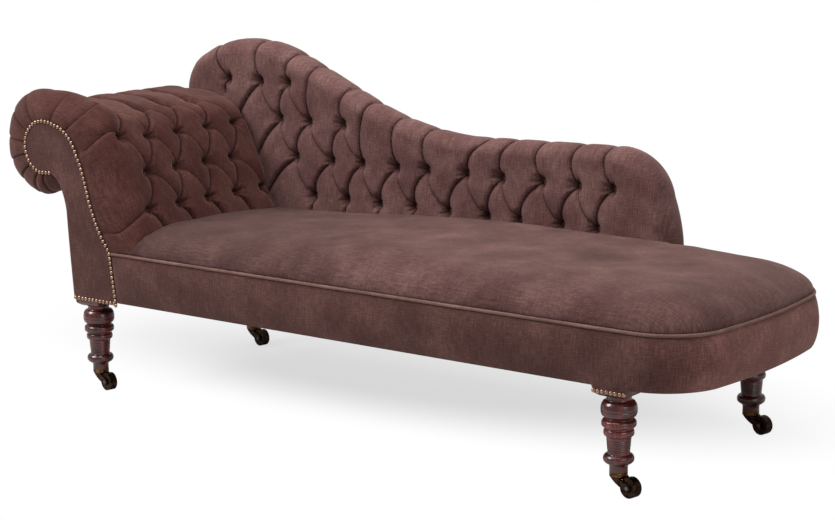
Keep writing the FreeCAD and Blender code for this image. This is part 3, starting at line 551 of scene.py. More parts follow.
def back_folds(outline):
    """Diamonds between the rows, straight folds to the seat, and folds over the top edge."""
    folds = []
    free = []
    for i, row in enumerate(BACK_BUTTONS):
        above = BACK_BUTTONS[i + 1] if i + 1 < len(BACK_BUTTONS) else []
        for p in row:
            joined = [q for q in above if abs(p[0] - q[0]) < 78.0]
            for q in joined:
                if q[0] > p[0]:
                    folds.append(bowed(p, q, (-13.0, 4.0), (24.0, 9.0, 24.0)))
                else:
                    folds.append(bowed(q, p, (-12.0, -2.0), (24.0, 7.5, 24.0), 0.8))
            if not any(q[0] > p[0] for q in joined):
                free.append(p)
            if i == 0:
                folds.append(bowed((p[0] - 5.0, BACK_BASE_Z - 6.0), p, (-6.0, 0.0), (10.0, 10.0, 24.0)))
    ends = []
    for p in sorted(free):
        gaps = [abs(c[0] - p[0] - 8.0) for c in BACK_CROSSINGS]
        crossing = np.array(BACK_CROSSINGS[int(np.argmin(gaps))], float)
        place = nearest(crossing[None], outline)[1]
        end = along(outline, place / lengths(outline)[-1])[0]
        folds.append(bowed(p, end, (-13.0, 0.0), (24.0, 9.0, 7.0)))
        ends.append(float(place[0]))
    for button, join in BACK_JOIN:
        line = np.array(join, float) + (np.array(join, float) - button) * 0.35
        folds.append(bowed(line, button, (-6.0, 5.0), (12.0, 12.0, 26.0)))
    return folds, ends


def back_pad():
    """The face is a flat grid, rounded over within 34 mm of its edge by y = 36 (1 - sqrt(1 - q^2)), where q
    rises from 0 to 1 at the edge. Folds and buttons then draw it in along its normal. Behind the edge the
    lip falls in by 45 (1 - sqrt(1 - (b / 74)^2)) at b mm back."""
    bottom, top, left, right = back_sides()
    outline = np.vstack([left[:-1], top, right[::-1][1:]])
    width, height = lengths(bottom)[-1], lengths(left)[-1]
    u = shares(width, 2.55, 40.0, 40.0, 18)
    v = shares(height, 3.0, 0.0, 40.0, 16)
    flat = patch(bottom, top, left, right, u, v)
    shape = flat.shape[:2]
    points = flat.reshape(-1, 2)
    distance = nearest(points, outline)[0]
    q = np.clip(1.0 - distance / 34.0, 0.0, 1.0)
    depth = BACK_FRONT_Y + 36.0 * (1.0 - np.sqrt(1.0 - q ** 2))
    folds, ends = back_folds(outline)
    buttons = [b for row in BACK_BUTTONS for b in row]
    # drawn_in also gives the painted shade along the folds and in the button hollows
    relief, crease = drawn_in(points, folds, np.array(buttons, float))
    relief += waves(points, 90.0, 1.3, 3) + waves(points, 26.0, 0.35, 4)
    base = np.column_stack([points[:, 0], depth, points[:, 1]]).reshape(*shape, 3)
    normal = -grid_normals(base)
    normal *= np.sign((normal * [0.0, -1.0, 0.0]).sum(2).mean())
    grid = base - normal * np.clip(relief, -1.5, 30.0).reshape(shape)[..., None]
    # The rim runs up the left side, along the top and down the right side
    rows, columns = shape
    numbers = np.arange(rows * columns).reshape(shape)
    rim = np.concatenate([numbers[0, :], numbers[1:, -1], numbers[-1, -2::-1]])
    rim_flat = points[rim]
    rim_out = normals_2d(rim_flat)
    rim_place = nearest(rim_flat, outline)[1]
    start = grid.reshape(-1, 3)[rim]
    walls = [(rim, None)]
    lip = [(back, 45.0 * (1.0 - np.sqrt(1.0 - (back / 74.0) ** 2)))
           for back in (6, 13, 20, 27, 34, 41, 48, 54, 60, 65, 69, 72)]
    for back, inset in lip + [(72, 43.5), (46, 44.0)]:
        fade = np.interp(back, [0, 72], [9.0, 5.0]) if inset < 40.0 else 0.0
        pull = np.zeros(len(rim))
        for end in ends:
            pull = np.maximum(pull, fade * fold(np.clip(np.abs(rim_place - end) / 26.0, 0.0, 1.0)))
        flat_row = rim_flat - rim_out * (inset + pull)[:, None]
        y = np.full(len(rim), 226.0 + back)
        if back == 6:
            y = np.maximum(y, start[:, 1] + 2.0)
        walls.append((np.column_stack([flat_row[:, 0], y, flat_row[:, 1]]), rim_flat + rim_out * back))

    def caps(last):
        def column(end):
            first = rows * columns
            return [first + k * len(rim) + (0 if end == 0 else len(rim) - 1) for k in range(len(walls) - 1)]
        under = [int(n) for n in numbers[:, 0]][::-1] + column(0) + column(-1)[::-1]
        return [[int(n) for n in last], under]

    closed_piece("buttoned_back", grid, flat, walls, caps, material=VELVET_LIT_BACK, slot="velvet", replaces=("back_pad",),
                 padded=0.85, crease=crease)
    at = np.array(buttons, float)
    centres = np.column_stack([at[:, 0], np.full(len(at), BACK_FRONT_Y + BUTTON_SUNK), at[:, 1]])
    points, faces = domes(centres, [(0.0, -1.0, 0.0)] * len(at), BUTTON_RADIUS, BUTTON_DOME)
    piece("back_covered_buttons", points, faces, VELVET_LIT_BACK, "velvet", ("back_buttons",), cloth_uv=points[:, [0, 2]])


# The buttoned head

HEAD_BUTTONS = [(102, (-218, -119, -23, 73, 168)), (187, (-186, -91, 7, 98)), (278, (-233, -143, -47, 55, 148)),
                (377, (-190, -99, -11, 79))]
# Gathers round the volute: places on the nail line
HEAD_GATHERS = [(-711, 606), (-762, 620), (-819, 614), (-838, 590), (-848, 563), (-848, 535), (-833, 511), (-811, 492),
                (-790, 488)]


def head_lines(step):
    """The scroll board's line and the stuffed line over it, point for point, at an even step along the latter."""
    inner = on_row(chain(SCROLL_EDGE))
    inner = inner - normals_2d(inner) * 0.3
    outer = on_row(chain(HEAD_EDGE))
    s = lengths(outer)
    at = np.interp(np.linspace(0.0, s[-1], int(s[-1] / step)), s, np.arange(len(outer)))

    def pick(line):
        return np.column_stack([np.interp(at, np.arange(len(line)), column) for column in line.T])

    return pick(inner), pick(outer)


def head_folds(inner, outer):
    """Diamonds between the rows, folds to the seat, the nail line, the back and over the roll, and gathers."""
    folds = []
    for i, (s, row) in enumerate(HEAD_BUTTONS):
        for y in row:
            if i == 0:
                folds.append(bowed((0.0, y + 26.0), (s, y), (6.0, 11.0), (12.0, 13.0, 25.0)))
            if i == len(HEAD_BUTTONS) - 1:
                folds.append(bowed((s, y), (s + 235.0, y + 6.0), (0.0, 9.0), (25.0, 10.0, 2.0)))
                continue
            s_up, above = HEAD_BUTTONS[i + 1]
            for y_up in above:
                if abs(y - y_up) < 74.0:
                    if y_up > y:
                        folds.append(bowed((s, y), (s_up, y_up), (0.0, 9.0), (25.0, 11.0, 25.0)))
                    else:
                        folds.append(bowed((s_up, y_up), (s, y), (8.0, 10.0), (25.0, 10.0, 25.0), 0.8))
    s_outer = lengths(outer)

    def on_nails(x, z):
        index = ((inner - [x, z]) ** 2).sum(1).argmin()
        return s_outer[index]

    folds.append(bowed((on_nails(-602, 375), -300.0), (102, -218), (10.0, 0.0), (6.0, 9.0, 25.0)))
    folds.append(bowed((on_nails(-659, 555), -300.0), (278, -233), (14.0, 0.0), (6.0, 9.0, 25.0)))
    folds.append(bowed((22.0, -282.0), (34.0, -240.0), (-9.0, 0.0), (2.0, 6.0, 2.0)))
    for s, y in ((102, 168), (278, 148)):
        folds.append(bowed((s, y), (s + 4.0, HEAD_REAR_Y), (3.0, 0.0), (25.0, 10.0, 8.0)))
    gathers = [bowed((on_nails(x, z), -303.0), (on_nails(x, z) + drift, -236.0), (2.0, 0.0), (6.5, 4.0, 0.3))
               for (x, z), drift in zip(HEAD_GATHERS, (14, 4, -4, -6, 0, 6, 8, 8, 4))]
    return folds, gathers


def head_pad():
    """A quarter circle in plan carries the profile from the scroll board's line out to the stuffed line:
    share = sin a and y = 62 (1 - cos a), a tighter 30 mm at the foot. The roll's top stands higher behind
    the front than in the middle. Folds and buttons draw the surface in along its normal."""
    inner, outer = head_lines(2.8)
    s = lengths(outer)
    a = np.linspace(0.0, np.pi / 2.0, 34)
    middle = np.arange(-241.0 + 2.6, 163.0, 2.6)
    b = np.linspace(0.0, np.pi / 2.0, 12)
    y = np.concatenate([-303.0 + 62.0 * (1.0 - np.cos(a)), middle, 163.0 + 24.5 * np.sin(b)])
    share = np.concatenate([np.sin(a), np.ones(len(middle)), 1.0 - 0.12 * (1.0 - np.cos(b))])
    # The foot of the pad is squarer in front than the roll
    tight = 1.0 - np.clip(s / 120.0, 0.0, 1.0)
    squarer = np.clip(share[None] * 2.4, 0.0, 1.0) - share[None]
    share = share[None] + squarer * (tight ** 2 * 0.8)[:, None] * (y < -200)[None]
    high = np.clip((outer[:, 1] - 556.0) / (664.0 - 556.0), 0.0, 1.0)
    back_off = eased(y, -241.0, -166.0)
    rise = high[:, None] * (7.0 - 23.0 * back_off)[None]
    full = np.exp(-((y + 258.0) / 42.0) ** 2)[None] * 11.0 * np.clip((s - 210.0) / 160.0, 0.0, 1.0)[:, None]
    out_dir = normals_2d(outer)
    centre = np.array([HEAD_X - 118.0, 556.0])
    out_dir *= np.sign(((outer - centre) * out_dir).sum(1))[:, None]
    flat = inner[:, None] * (1.0 - share)[..., None] + outer[:, None] * share[..., None]
    flat = flat + out_dir[:, None] * (full * share)[..., None]
    flat[..., 1] += rise * share
    base = np.stack([flat[..., 0], np.broadcast_to(y, flat.shape[:2]), flat[..., 1]], -1)
    place = np.stack(np.broadcast_arrays(s[:, None], y[None]), -1).reshape(-1, 2)
    folds, gathers = head_folds(inner, outer)
    buttons = np.array([(row_s, button_y) for row_s, row in HEAD_BUTTONS for button_y in row], float)
    # drawn_in also gives the painted shade along the folds, gathers and button hollows
    relief, crease = drawn_in(place, folds, buttons)
    gathered, gather_crease = drawn_in(place, gathers, [], lip=9.0, soft=22.0)
    relief, crease = np.maximum(relief, gathered), np.maximum(crease, gather_crease)
    fade = np.interp(place[:, 1], [-303.0, -270.0], [0.0, 1.0])
    relief += (waves(place, 85.0, 1.2, 11) + waves(place, 24.0, 0.35, 12)) * fade
    normal = grid_normals(base)
    normal *= np.sign((normal[60:120, 60:120, 0]).mean())
    grid = base - normal * np.clip(relief, -1.5, 30.0).reshape(flat.shape[:2])[..., None]
    grid[:, 0] = base[:, 0]
    grid[..., 1] = np.clip(grid[..., 1], -303.0, HEAD_REAR_Y)
    rows, columns = grid.shape[:2]
    # Cloth runs along the profile, and out over the front edge
    run_y = lengths(np.column_stack([y, np.clip((y + 303.0) / 62.0, 0.0, 1.0) * 62.0]))
    uv = np.stack(np.broadcast_arrays(run_y[None], s[:, None]), -1)
    points, cloth = [grid.reshape(-1, 3)], [uv.reshape(-1, 2)]
    faces = quads(rows, columns).tolist()
    numbers = np.arange(rows * columns).reshape(rows, columns)
    # Rear end: rings shrink to the scroll board's line; its inner wall runs back to the front edge
    row = numbers[:, -1]
    last = grid[:, -1][:, [0, 2]]
    count = rows * columns
    for share_in in (0.9, 0.6, 0.3, 0.02):
        ring = inner * (1.0 - share_in) + last * share_in
        points.append(np.column_stack([ring[:, 0], np.full(rows, HEAD_REAR_Y), ring[:, 1]]))
        cloth.append(np.column_stack([np.full(rows, run_y[-1] + 80.0 * (1.0 - share_in)), s]))
        new = np.arange(rows) + count
        faces += strip(row, new)
        row = new
        count += rows
    front = numbers[:, 0]
    faces += strip(row, front)
    caps = [count - rows * k for k in (4, 3, 2, 1)]
    faces.append([int(n) for n in numbers[0]] + caps)
    faces.append(([int(n) for n in numbers[-1]] + [c + rows - 1 for c in caps])[::-1])
    piece("buttoned_head", np.vstack(points), faces, VELVET_SHADED_HEAD, "velvet", ("head_pad",), np.vstack(cloth),
          padded=0.85, crease=crease)
    # Buttons stand on the surface where the hollows end
    index = [(np.abs(s - p[0]).argmin(), np.abs(y - p[1]).argmin()) for p in buttons]
    centres = np.array([base[i, j] - normal[i, j] * BUTTON_SUNK for i, j in index])
    points, faces = domes(centres, [normal[i, j] for i, j in index], BUTTON_RADIUS, BUTTON_DOME)
    piece("head_covered_buttons", points, faces, VELVET_SHADED_HEAD, "velvet", ("head_buttons",), cloth_uv=points[:, [1, 2]])


# Seat

def foot_plan(offset, under, back_share=1.0, start=0.0, steps=24):
    """The foot end in plan, front to back, moved out by offset: side, corner, bowed end, corner, side.
    under runs from 0 at the top to 1 below, where the rear corner is tighter and the end a little drawn in."""
    r = 132.0 + 3.0 * under
    r_back = 152.0 - 17.0 * under
    angle = np.radians(14.0 - 4.0 * under)
    bow = 14.0 - 1.0 * under
    end_x = 922.5 - 5.1 * under + offset
    r, r_back = r + offset, r_back + offset
    side = FACE_Y + 1.0 + offset
    back_side = FACE_Y + 1.0 + offset * back_share
    centre_x = end_x - bow - r * np.cos(angle)
    centre_back = end_x - bow - r_back * np.cos(angle)
    turn = np.linspace(np.pi / 2.0, angle, steps + 1)
    front = np.column_stack([centre_x + r * np.cos(turn), -side + r - r * np.sin(turn)])
    back = np.column_stack([centre_back + r_back * np.cos(turn[::-1]),
                            back_side - r_back + r_back * np.sin(turn[::-1])])
    end = arc(front[-1], (end_x, (front[-1, 1] + back[0, 1]) / 2.0), back[0], steps)
    return np.vstack([[FOOT_X - 20.0 - start, -side], front, end[1:-1], back, [FOOT_X - 20.0 - start, back_side]])


def seat_pad():
    """The crown rises from the piping as a quarter ellipse of the distance to the open edge:
    z = 68 sqrt(1 - (1 - d / 150)^2), level beyond 150 mm."""
    edge = foot_plan(-1.5, 0.0)
    x_head = HEAD_X + 88.0
    front = np.vstack([[x_head, edge[0, 1]], edge[:14]])
    end = edge[13:-13]
    rear_open = edge[-14:][::-1]
    rear = np.vstack([[x_head, HEAD_REAR_Y], [BACK_X - 14.0, HEAD_REAR_Y], [BACK_X + 12.0, HEAD_REAR_Y + 4.0],
                      [BACK_X + 14.0, edge[-1, 1] - 0.5], rear_open])
    left = np.array([front[0], rear[0]])
    width = lengths(front)[-1]
    u = shares(width, 6.5, 0.0, 40.0, 8)
    v = shares(600.0, 6.0, 60.0, 60.0, 18)
    flat = patch(front, rear, left, end, u, v)
    shape = flat.shape[:2]
    points = flat.reshape(-1, 2)
    open_front = np.vstack([[x_head - 400.0, edge[0, 1]], edge])
    d_front = nearest(points, open_front[:52])[0]
    beyond = eased(points[:, 0], BACK_X - 45.0, BACK_X + 5.0)
    open_rear = np.vstack([edge[-60:], [BACK_X - 200.0, edge[-1, 1]]])
    d = np.minimum(d_front, nearest(points, open_rear)[0] + (1.0 - beyond) * 300.0)
    crown = SEAT_CROWN * np.sqrt(np.clip(1.0 - (1.0 - np.clip(d / SEAT_RUN, 0.0, 1.0)) ** 2, 0.0, 1.0))
    # The stuffing is fullest at mid-length and lower where it meets the head and the corner behind it
    x = points[:, 0]
    crown *= np.interp(x, [-520.0, -300.0, -100.0, 60.0, 250.0, 600.0], [0.80, 0.88, 0.98, 1.08, 1.06, 1.0])
    corner_fall = np.clip((points[:, 1] + 20.0) / 210.0, 0.0, 1.0) * np.clip((150.0 - x) / 600.0, 0.0, 1.0)
    crown *= 1.0 - 0.26 * corner_fall
    crown *= 1.0 - 0.22 * np.clip((points[:, 1] - 20.0) / 200.0, 0.0, 1.0) * np.clip((x - 620.0) / 220.0, 0.0, 1.0)
    relief = (waves(points, 260.0, 1.6, 21) + waves(points, 70.0, 0.35, 22)) * np.clip(crown / SEAT_CROWN, 0.0, 1.0)
    sag = 3.0 * np.exp(-((x - 560.0) ** 2 + (points[:, 1] + 20.0) ** 2) / 90.0 ** 2)
    # Under the head's pad the cloth lies flat, and rises in front of it
    rise = eased(x, HEAD_X + 128.0, HEAD_X + 154.0)
    z = CROWN_BASE + (crown - relief - sag) * rise
    grid = np.column_stack([points, z]).reshape(*shape, 3)
    numbers = np.arange(shape[0] * shape[1]).reshape(shape)
    rim = np.concatenate([numbers[:, 0], numbers[-1, 1:], numbers[-2::-1, -1], numbers[0, -2:0:-1]])
    flat_rim = points[rim]
    out = -normals_2d(np.vstack([flat_rim[-1:], flat_rim, flat_rim[:1]]))[1:-1]
    top = grid.reshape(-1, 3)[rim]
    all_points, cloth = [grid.reshape(-1, 3)], [points]
    faces = quads(*shape).tolist()
    row = rim
    count = shape[0] * shape[1]
    for z_row, inset in ((CROWN_BASE - 0.4, 0.5), (CROWN_BASE - 0.6, 4.0), (CROWN_BASE - 0.8, 9.0), (SEAT_BASE, 9.5)):
        flat_row = top[:, :2] - out * inset
        all_points.append(np.column_stack([flat_row, np.full(len(rim), z_row)]))
        cloth.append(flat_rim + out * (CROWN_BASE - z_row + inset))
        new = np.arange(len(rim)) + count
        faces += strip(row, new, closed=True)
        row = new
        count += len(rim)
    faces.append([int(n) for n in row])
    # Painted shade: a patch painted darker over the seat's sat-in dip near the foot of the back
    dip_painted_shade = 0.3 * np.exp(-((x - 540.0) / 75.0) ** 2 - ((points[:, 1] + 5.0) / 38.0) ** 2)
    piece("sprung_seat", np.vstack(all_points), faces, VELVET_LIT_SEAT, "velvet", ("seat_pad",), np.vstack(cloth),
          padded=0.9, crease=dip_painted_shade)


def border_path(offset, under, x_start, x_stop):
    """The whole border in plan: the front from the scroll, the foot, and the rear up to the back."""
    foot = foot_plan(offset, under)
    x = np.linspace(x_start, foot[0, 0], 260)[:-1]
    ease = 1.0 - np.exp(-(x - x_start) / 14.0)
    front = np.column_stack([x, -FACE_Y - 1.2 + (foot[0, 1] + FACE_Y + 1.2) * ease])
    rear = np.column_stack([np.linspace(foot[-1, 0], x_stop, 30)[1:], np.full(29, foot[-1, 1])])
    return np.vstack([front, foot, rear])


def border():
    """A padded strip bowed out over its height as 12 (4 h (1 - h)), and turned under the rails; its foot
    hangs lower where it covers the front faces of the leg heads."""
    levels = np.linspace(0.0, 1.0, 22)
    rows = []
    x_start, x_stop = HEAD_X + 85.0, BACK_X + 0.5
    along_path = lengths(border_path(0.0, 0.0, x_start, x_stop))

    def start_at(z):
        return x_start + (HEAD_FOOT_Z - z) * SCROLL_LEAN

    for h in levels:
        bulge = 0.3 + 10.7 * (4.0 * h * (1.0 - h)) ** 0.8
        level = BORDER_BOTTOM + (BORDER_TOP - BORDER_BOTTOM) * h
        flat = border_path(bulge - 0.2, (1.0 - h) ** 1.6, start_at(level), x_stop)
        x = flat[:, 0]
        over_leg = (x > FOOT_X - 38.0) & (x < FOOT_X + 38.0)
        low = np.where(over_leg, 205.5, BORDER_BOTTOM)
        z = low + (BORDER_TOP - low) * h
        place = np.column_stack([along_path, z])
        ripple = (waves(place, 130.0, 0.8, 31) + waves(place, 30.0, 0.2, 32)) * 4.0 * h * (1.0 - h)
        flat = flat - normals_2d(flat) * ripple[:, None]
        rows.append(np.column_stack([flat, z]))
    under = []
    base = border_path(0.0, 1.0, start_at(BORDER_BOTTOM), x_stop)
    out = -normals_2d(base)
    low = rows[0][:, 2]
    for inset, drop in ((3.0, 0.9), (14.0, 1.0)):
        flat = base - out * inset
        under.append(np.column_stack([flat, low - drop]))
    top_in = border_path(-6.0, 0.0, x_start, x_stop)
    grid = np.array(under[::-1] + rows + [np.column_stack([top_in, np.full(len(top_in), BORDER_TOP)])])
    heights = lengths(grid[:, 40])
    uv = np.stack(np.broadcast_arrays(along_path[None], heights[:, None]), -1)
    count, columns = grid.shape[:2]
    faces = quads(count, columns).tolist()
    points = np.vstack([grid.reshape(-1, 3), np.column_stack([base - out * 14.0, low + 4.0])])
    first = count * columns
    ring = np.arange(columns)
    faces += strip(ring, first + ring)
    top = (count - 1) * columns + ring
    faces += strip(first + ring, top)
    for end in (0, columns - 1):
        faces.append([end + k * columns for k in range(count)] + [first + end])
    cloth = np.vstack([uv.reshape(-1, 2), np.column_stack([along_path, np.full(columns, -20.0)])])
    piece("seat_border", points, faces, VELVET_SHADED_SIDES, "velvet", ("front_border", "foot_border", "rear_border"), cloth)


def tube(path, radius, sides=12):
    """A round cord: circles square to the path at each of its points. The radius may change along it."""
    t = np.gradient(path, axis=0)
    t /= np.linalg.norm(t, axis=1)[:, None]
    up = np.array([0.0, 0.0, 1.0])
    side = np.cross(t, up)
    side /= np.linalg.norm(side, axis=1)[:, None]
    lift = np.cross(side, t)
    turns = np.arange(sides) * 2.0 * np.pi / sides
    radius = np.broadcast_to(radius, len(path))
    rings = path[:, None] + radius[:, None, None] * (side[:, None] * np.cos(turns)[None, :, None]
                                                     + lift[:, None] * np.sin(turns)[None, :, None])
    faces = quads(len(path), sides, closed=True).tolist()
    last = (len(path) - 1) * sides
    faces += [list(range(sides)), list(range(last, last + sides))[::-1]]
    cloth = np.stack(np.broadcast_arrays(lengths(path)[:, None], (turns * 3.5)[None]), -1).reshape(-1, 2)
    return rings.reshape(-1, 3), faces, cloth


def piping():
    """The covered cord along the seam over the border, faintly uneven where its cover is gathered. Its velvet copy is
    painted lighter: a painted highlight along the cord.
    """
    flat = along(border_path(0.0, 0.0, HEAD_X + 87.0, BACK_X + 4.0), np.linspace(0.0, 1.0, 900))
    s = lengths(flat)
    path = np.column_stack([flat, np.full(len(flat), PIPING_Z)])
    radius = PIPING_R + 0.12 * np.sin(s / 4.1) + 0.1 * np.sin(s / 2.3 + 1.0)
    points, faces, cloth = tube(path, radius)
    piece("seam_piping", points, faces, VELVET_HIGHLIT_PIPING, "velvet", ("seat_piping",), cloth)


# Flat covered panels

def scroll_outline(low=212.0):
    edge = on_row(chain(SCROLL_EDGE))
    outer = on_row(chain(SCROLL_OUTER))
    kept = outer[:, 1] > low
    outer = np.vstack([outer[kept], [np.interp(-low, -outer[:, 1], outer[:, 0]), low]])
    foot_in = (HEAD_X + 83.0 + (HEAD_FOOT_Z - low) * SCROLL_LEAN, low)
    return np.vstack([edge, outer[1:], [foot_in]])


def panel(name, outline, y, out, thick, puff, nodes, lip=2.0):
    """A covered panel: the outline carried out by its thickness with a rounded lip, then flat."""
    ahead = np.roll(outline, -1, 0)
    turning = 1.0 if (ahead[:, 1] * outline[:, 0] - ahead[:, 0] * outline[:, 1]).sum() > 0 else -1.0
    loop = np.vstack([outline[-1:], outline, outline[:1]])
    inward = normals_2d(loop)[1:-1] * turning
    points, cloth, faces = [], [], []
    count = len(outline)
    rings = ((0.0, 0.0), (0.0, thick * 0.6), (lip * 0.4, thick * 0.9), (lip * 1.5, thick + puff * 0.4),
             (lip * 4.0, thick + puff))
    for step, (drawn, depth) in enumerate(rings):
        flat = outline + inward * drawn
        points.append(np.column_stack([flat[:, 0], np.full(count, y + out * depth), flat[:, 1]]))
        cloth.append(outline + inward * (drawn - depth))
        if step:
            a, b = (step - 1) * count + np.arange(count), step * count + np.arange(count)
            faces += strip(a, b, closed=True)
    faces.append(list(range(4 * count, 5 * count)))
    faces.append(list(range(count))[::-1])
    piece(name, np.vstack(points), faces, VELVET_SHADED_SIDES, "velvet", nodes, np.vstack(cloth))


def scroll_panel():
    panel("scroll_facing_panel", scroll_outline(), -FACE_Y - COVER_GAP, -1.0, CLOTH, 0.6, ("scroll_facing",))


def rear_scroll_panel():
    """The cloth on the rear of the scroll, seen from behind in the eye of the roll."""
    outline = scroll_outline(SEAT_BASE)
    panel("scroll_rear_panel", outline, HEAD_REAR_Y - CLOTH + COVER_GAP, 1.0, CLOTH, 0.3, ("scroll_rear_facing",))


def back_outside():
    line = on_row(chain([tuple(q) for q in inset(BACK_HIDDEN + BACK_EDGE[1:], PANEL_INSET)]))
    outline = np.vstack([line, [BACK_X, BORDER_BOTTOM], [HEAD_X - 36.5, BORDER_BOTTOM]])
    panel("back_outside_panel", outline, FACE_Y + COVER_GAP, 1.0, CLOTH, 0.4, ("back_outside_cover",))


def head_outside():
    """The plain cloth from under the roll to the frame's foot: the neck's line carried across."""
    line = on_row(chain(SCROLL_OUTER[2:]))
    n = -normals_2d(line)
    if n[:, 0].mean() > 0:
        n = -n
    y = np.linspace(-FACE_Y, FACE_Y, 90)
    puff = 0.8 * (1.0 - (y / FACE_Y) ** 4)
    outer = line[:, None] + n[:, None] * (COVER_GAP + CLOTH + puff[None, :, None])
    grid = np.stack([outer[..., 0], np.broadcast_to(y, outer.shape[:2]), outer[..., 1]], -1)
    high = grid[..., 2] > BACK_BASE_Z - 2.0
    grid[..., 1] = np.where(high, np.minimum(grid[..., 1], HEAD_REAR_Y), grid[..., 1])
    inner_flat = line + n * COVER_GAP
    rows, columns = grid.shape[:2]
    uv = np.stack(np.broadcast_arrays(y[None], lengths(line)[::-1][:, None]), -1)
    inner = np.stack([np.broadcast_to(inner_flat[:, None, 0], (rows, columns)), grid[..., 1],
                      np.broadcast_to(inner_flat[:, None, 1], (rows, columns))], -1)
    points = np.vstack([grid.reshape(-1, 3), inner.reshape(-1, 3)])
    shift = rows * columns
    outside, inside = quads(rows, columns), quads(rows, columns, shift)[:, ::-1]
    faces = outside.tolist() + inside.tolist()
    numbers = np.arange(shift).reshape(rows, columns)
    loop = np.concatenate([numbers[0, :-1], numbers[:-1, -1], numbers[-1, :0:-1], numbers[:0:-1, 0]])
    faces += np.column_stack([loop, loop + shift, np.roll(loop, -1) + shift, np.roll(loop, -1)]).tolist()
    piece("head_outside_panel", points, faces, VELVET_SHADED_SIDES, "velvet", ("head_outside_cover",),
          np.vstack([uv.reshape(-1, 2)] * 2))


# Nails

def nails():
    """Domed nail heads at an even pitch along the facing's edge, its foot, and the leg head's foot."""
    edge = on_row(chain(SCROLL_EDGE))
    foot_in = np.array([[HEAD_X + 83.0 + 122.0 * SCROLL_LEAN, 213.0]])
    front = np.vstack([foot_in, edge])
    front = front + normals_2d(front) * 1.5
    places = []
    for line in (front, np.array([[HEAD_X - 32.0, 216.5], [HEAD_X + 92.0, 216.5]])):
        count = int(lengths(line)[-1] / NAIL_PITCH)
        flat = along(line, np.linspace(0.0, 1.0, count + 1))
        places += [(x, -FACE_Y - COVER_GAP - CLOTH - 0.6, z) for x, z in flat]
    tab = np.linspace(FOOT_X - 34.0, FOOT_X + 34.0, 8)
    places += [(x, -FACE_Y - 2.6, 208.5) for x in tab]
    out = [(0.0, -1.0, 0.12)] * len(places)
    points, faces = domes(np.array(places) + rng.normal(0.0, 0.22, (len(places), 3)) * [1, 0, 1], out, 4.7, 3.0, 12, 3)
    piece("brass_nails", points, faces, NAIL_BRASS, "aged_brass")


# Legs

LEG_PROFILE = [(24, 196), (24.2, 190), (25.5, 187), (30.5, 185.2), (34, 180), (35.5, 172), (35.4, 164),
               (33, 157.5), (28, 153.5), (26, 151.5), (26.2, 150.3), (30.5, 149.4), (33.2, 146.8),
               (34.1, 142.2), (33.4, 137.5), (30.6, 134.6), (26.6, 133.6), (26, 132), (26.4, 130.6),
               (28.6, 129.4), (29.6, 126.4), (29.8, 122.4), (28.8, 118.6), (26, 116.4), (24.2, 115),
               (23.4, 104), (22.4, 92), (21.4, 83), (22, 81.2), (26.6, 80), (29.4, 76.6), (30.2, 72),
               (29.2, 67.4), (25.6, 63.6), (21, 61.2), (18.6, 59), (17.7, 55), (17.8, 46)]


def leg(name, x, y):
    """A lathe-turned profile with its corners eased, fine grooves turned in it, and a square head above."""
    z_line = np.array([p[1] for p in LEG_PROFILE], float)
    r_line = np.array([p[0] for p in LEG_PROFILE], float)
    at = lengths(np.column_stack([r_line, z_line]))
    s = np.linspace(0.0, at[-1], 230)
    r, z = np.interp(s, at, r_line), np.interp(s, at, z_line)
    kernel = np.hanning(7)
    kernel /= kernel.sum()
    r_soft = np.convolve(np.pad(r, 3, mode="edge"), kernel, mode="valid")
    groove = sum(np.exp(-((z - c) / 0.7) ** 2) * 1.0 for c in (110.0, 105.5, 101.0, 96.5, 92.0, 87.5))
    groove = groove + 1.3 * np.exp(-((z - 142.0) / 0.8) ** 2) + 1.0 * np.exp(-((z - 168.0) / 0.7) ** 2)
    r_soft = r_soft - groove
    sides = 72
    turns = np.arange(sides) * 2.0 * np.pi / sides
    ring = np.stack([x + r_soft[:, None] * np.cos(turns), y + r_soft[:, None] * np.sin(turns),
                     np.broadcast_to(z[:, None], (len(z), sides))], -1)
    points = [ring.reshape(-1, 3)]
    faces = quads(len(z), sides, closed=True).tolist()
    last = (len(z) - 1) * sides
    faces += [list(range(sides)), list(range(last, last + sides))[::-1]]
    count = len(points[0])
    square = np.array([(-1, -1), (1, -1), (1, 1), (-1, 1)], float)
    heads = [(25.0, 196.5), (28.0, 197.6), (34.5, 202.4), (35.7, 204.2), (36.0, 206.0), (36.0, 318.0)]
    for half, z_at in heads:
        corner = []
        cut = min(1.2, half * 0.05)
        for i, (cx, cy) in enumerate(square):
            corner.append((x + cx * (half - (cut if i % 2 else 0.0)), y + cy * (half - (0.0 if i % 2 else cut))))
            corner.append((x + cx * (half - (0.0 if i % 2 else cut)), y + cy * (half - (cut if i % 2 else 0.0))))
        points.append(np.column_stack([np.array(corner), np.full(8, z_at)]))
    faces += quads(len(heads), 8, count, closed=True).tolist()
    top = count + (len(heads) - 1) * 8
    faces += [list(range(count, count + 8)), list(range(top, top + 8))[::-1]]
    obj = piece("turned_" + name, np.vstack(points), faces, MAHOGANY, "polished_mahogany", (name,))
    flat = obj.data.polygons
    for face in flat[-(len(heads) - 1) * 8 - 2:]:
        face.use_smooth = False


# Painted highlight: the piping's copy of the velvet is painted lighter than the border's
VELVET_HIGHLIT_PIPING = velvet("velvet_highlit_piping", "#4e3631", "#694e47", "#876a61")

back_pad()
head_pad()
seat_pad()
border()
piping()
scroll_panel()
rear_scroll_panel()
back_outside()
head_outside()
nails()
for leg_name, leg_x, leg_y in (("leg_head_front", HEAD_X, -LEG_Y), ("leg_head_rear", HEAD_X, LEG_Y),
                               ("leg_foot_front", FOOT_X, -LEG_Y), ("leg_foot_rear", FOOT_X, LEG_Y)):
    leg(leg_name, leg_x, leg_y)


# Room, light and camera

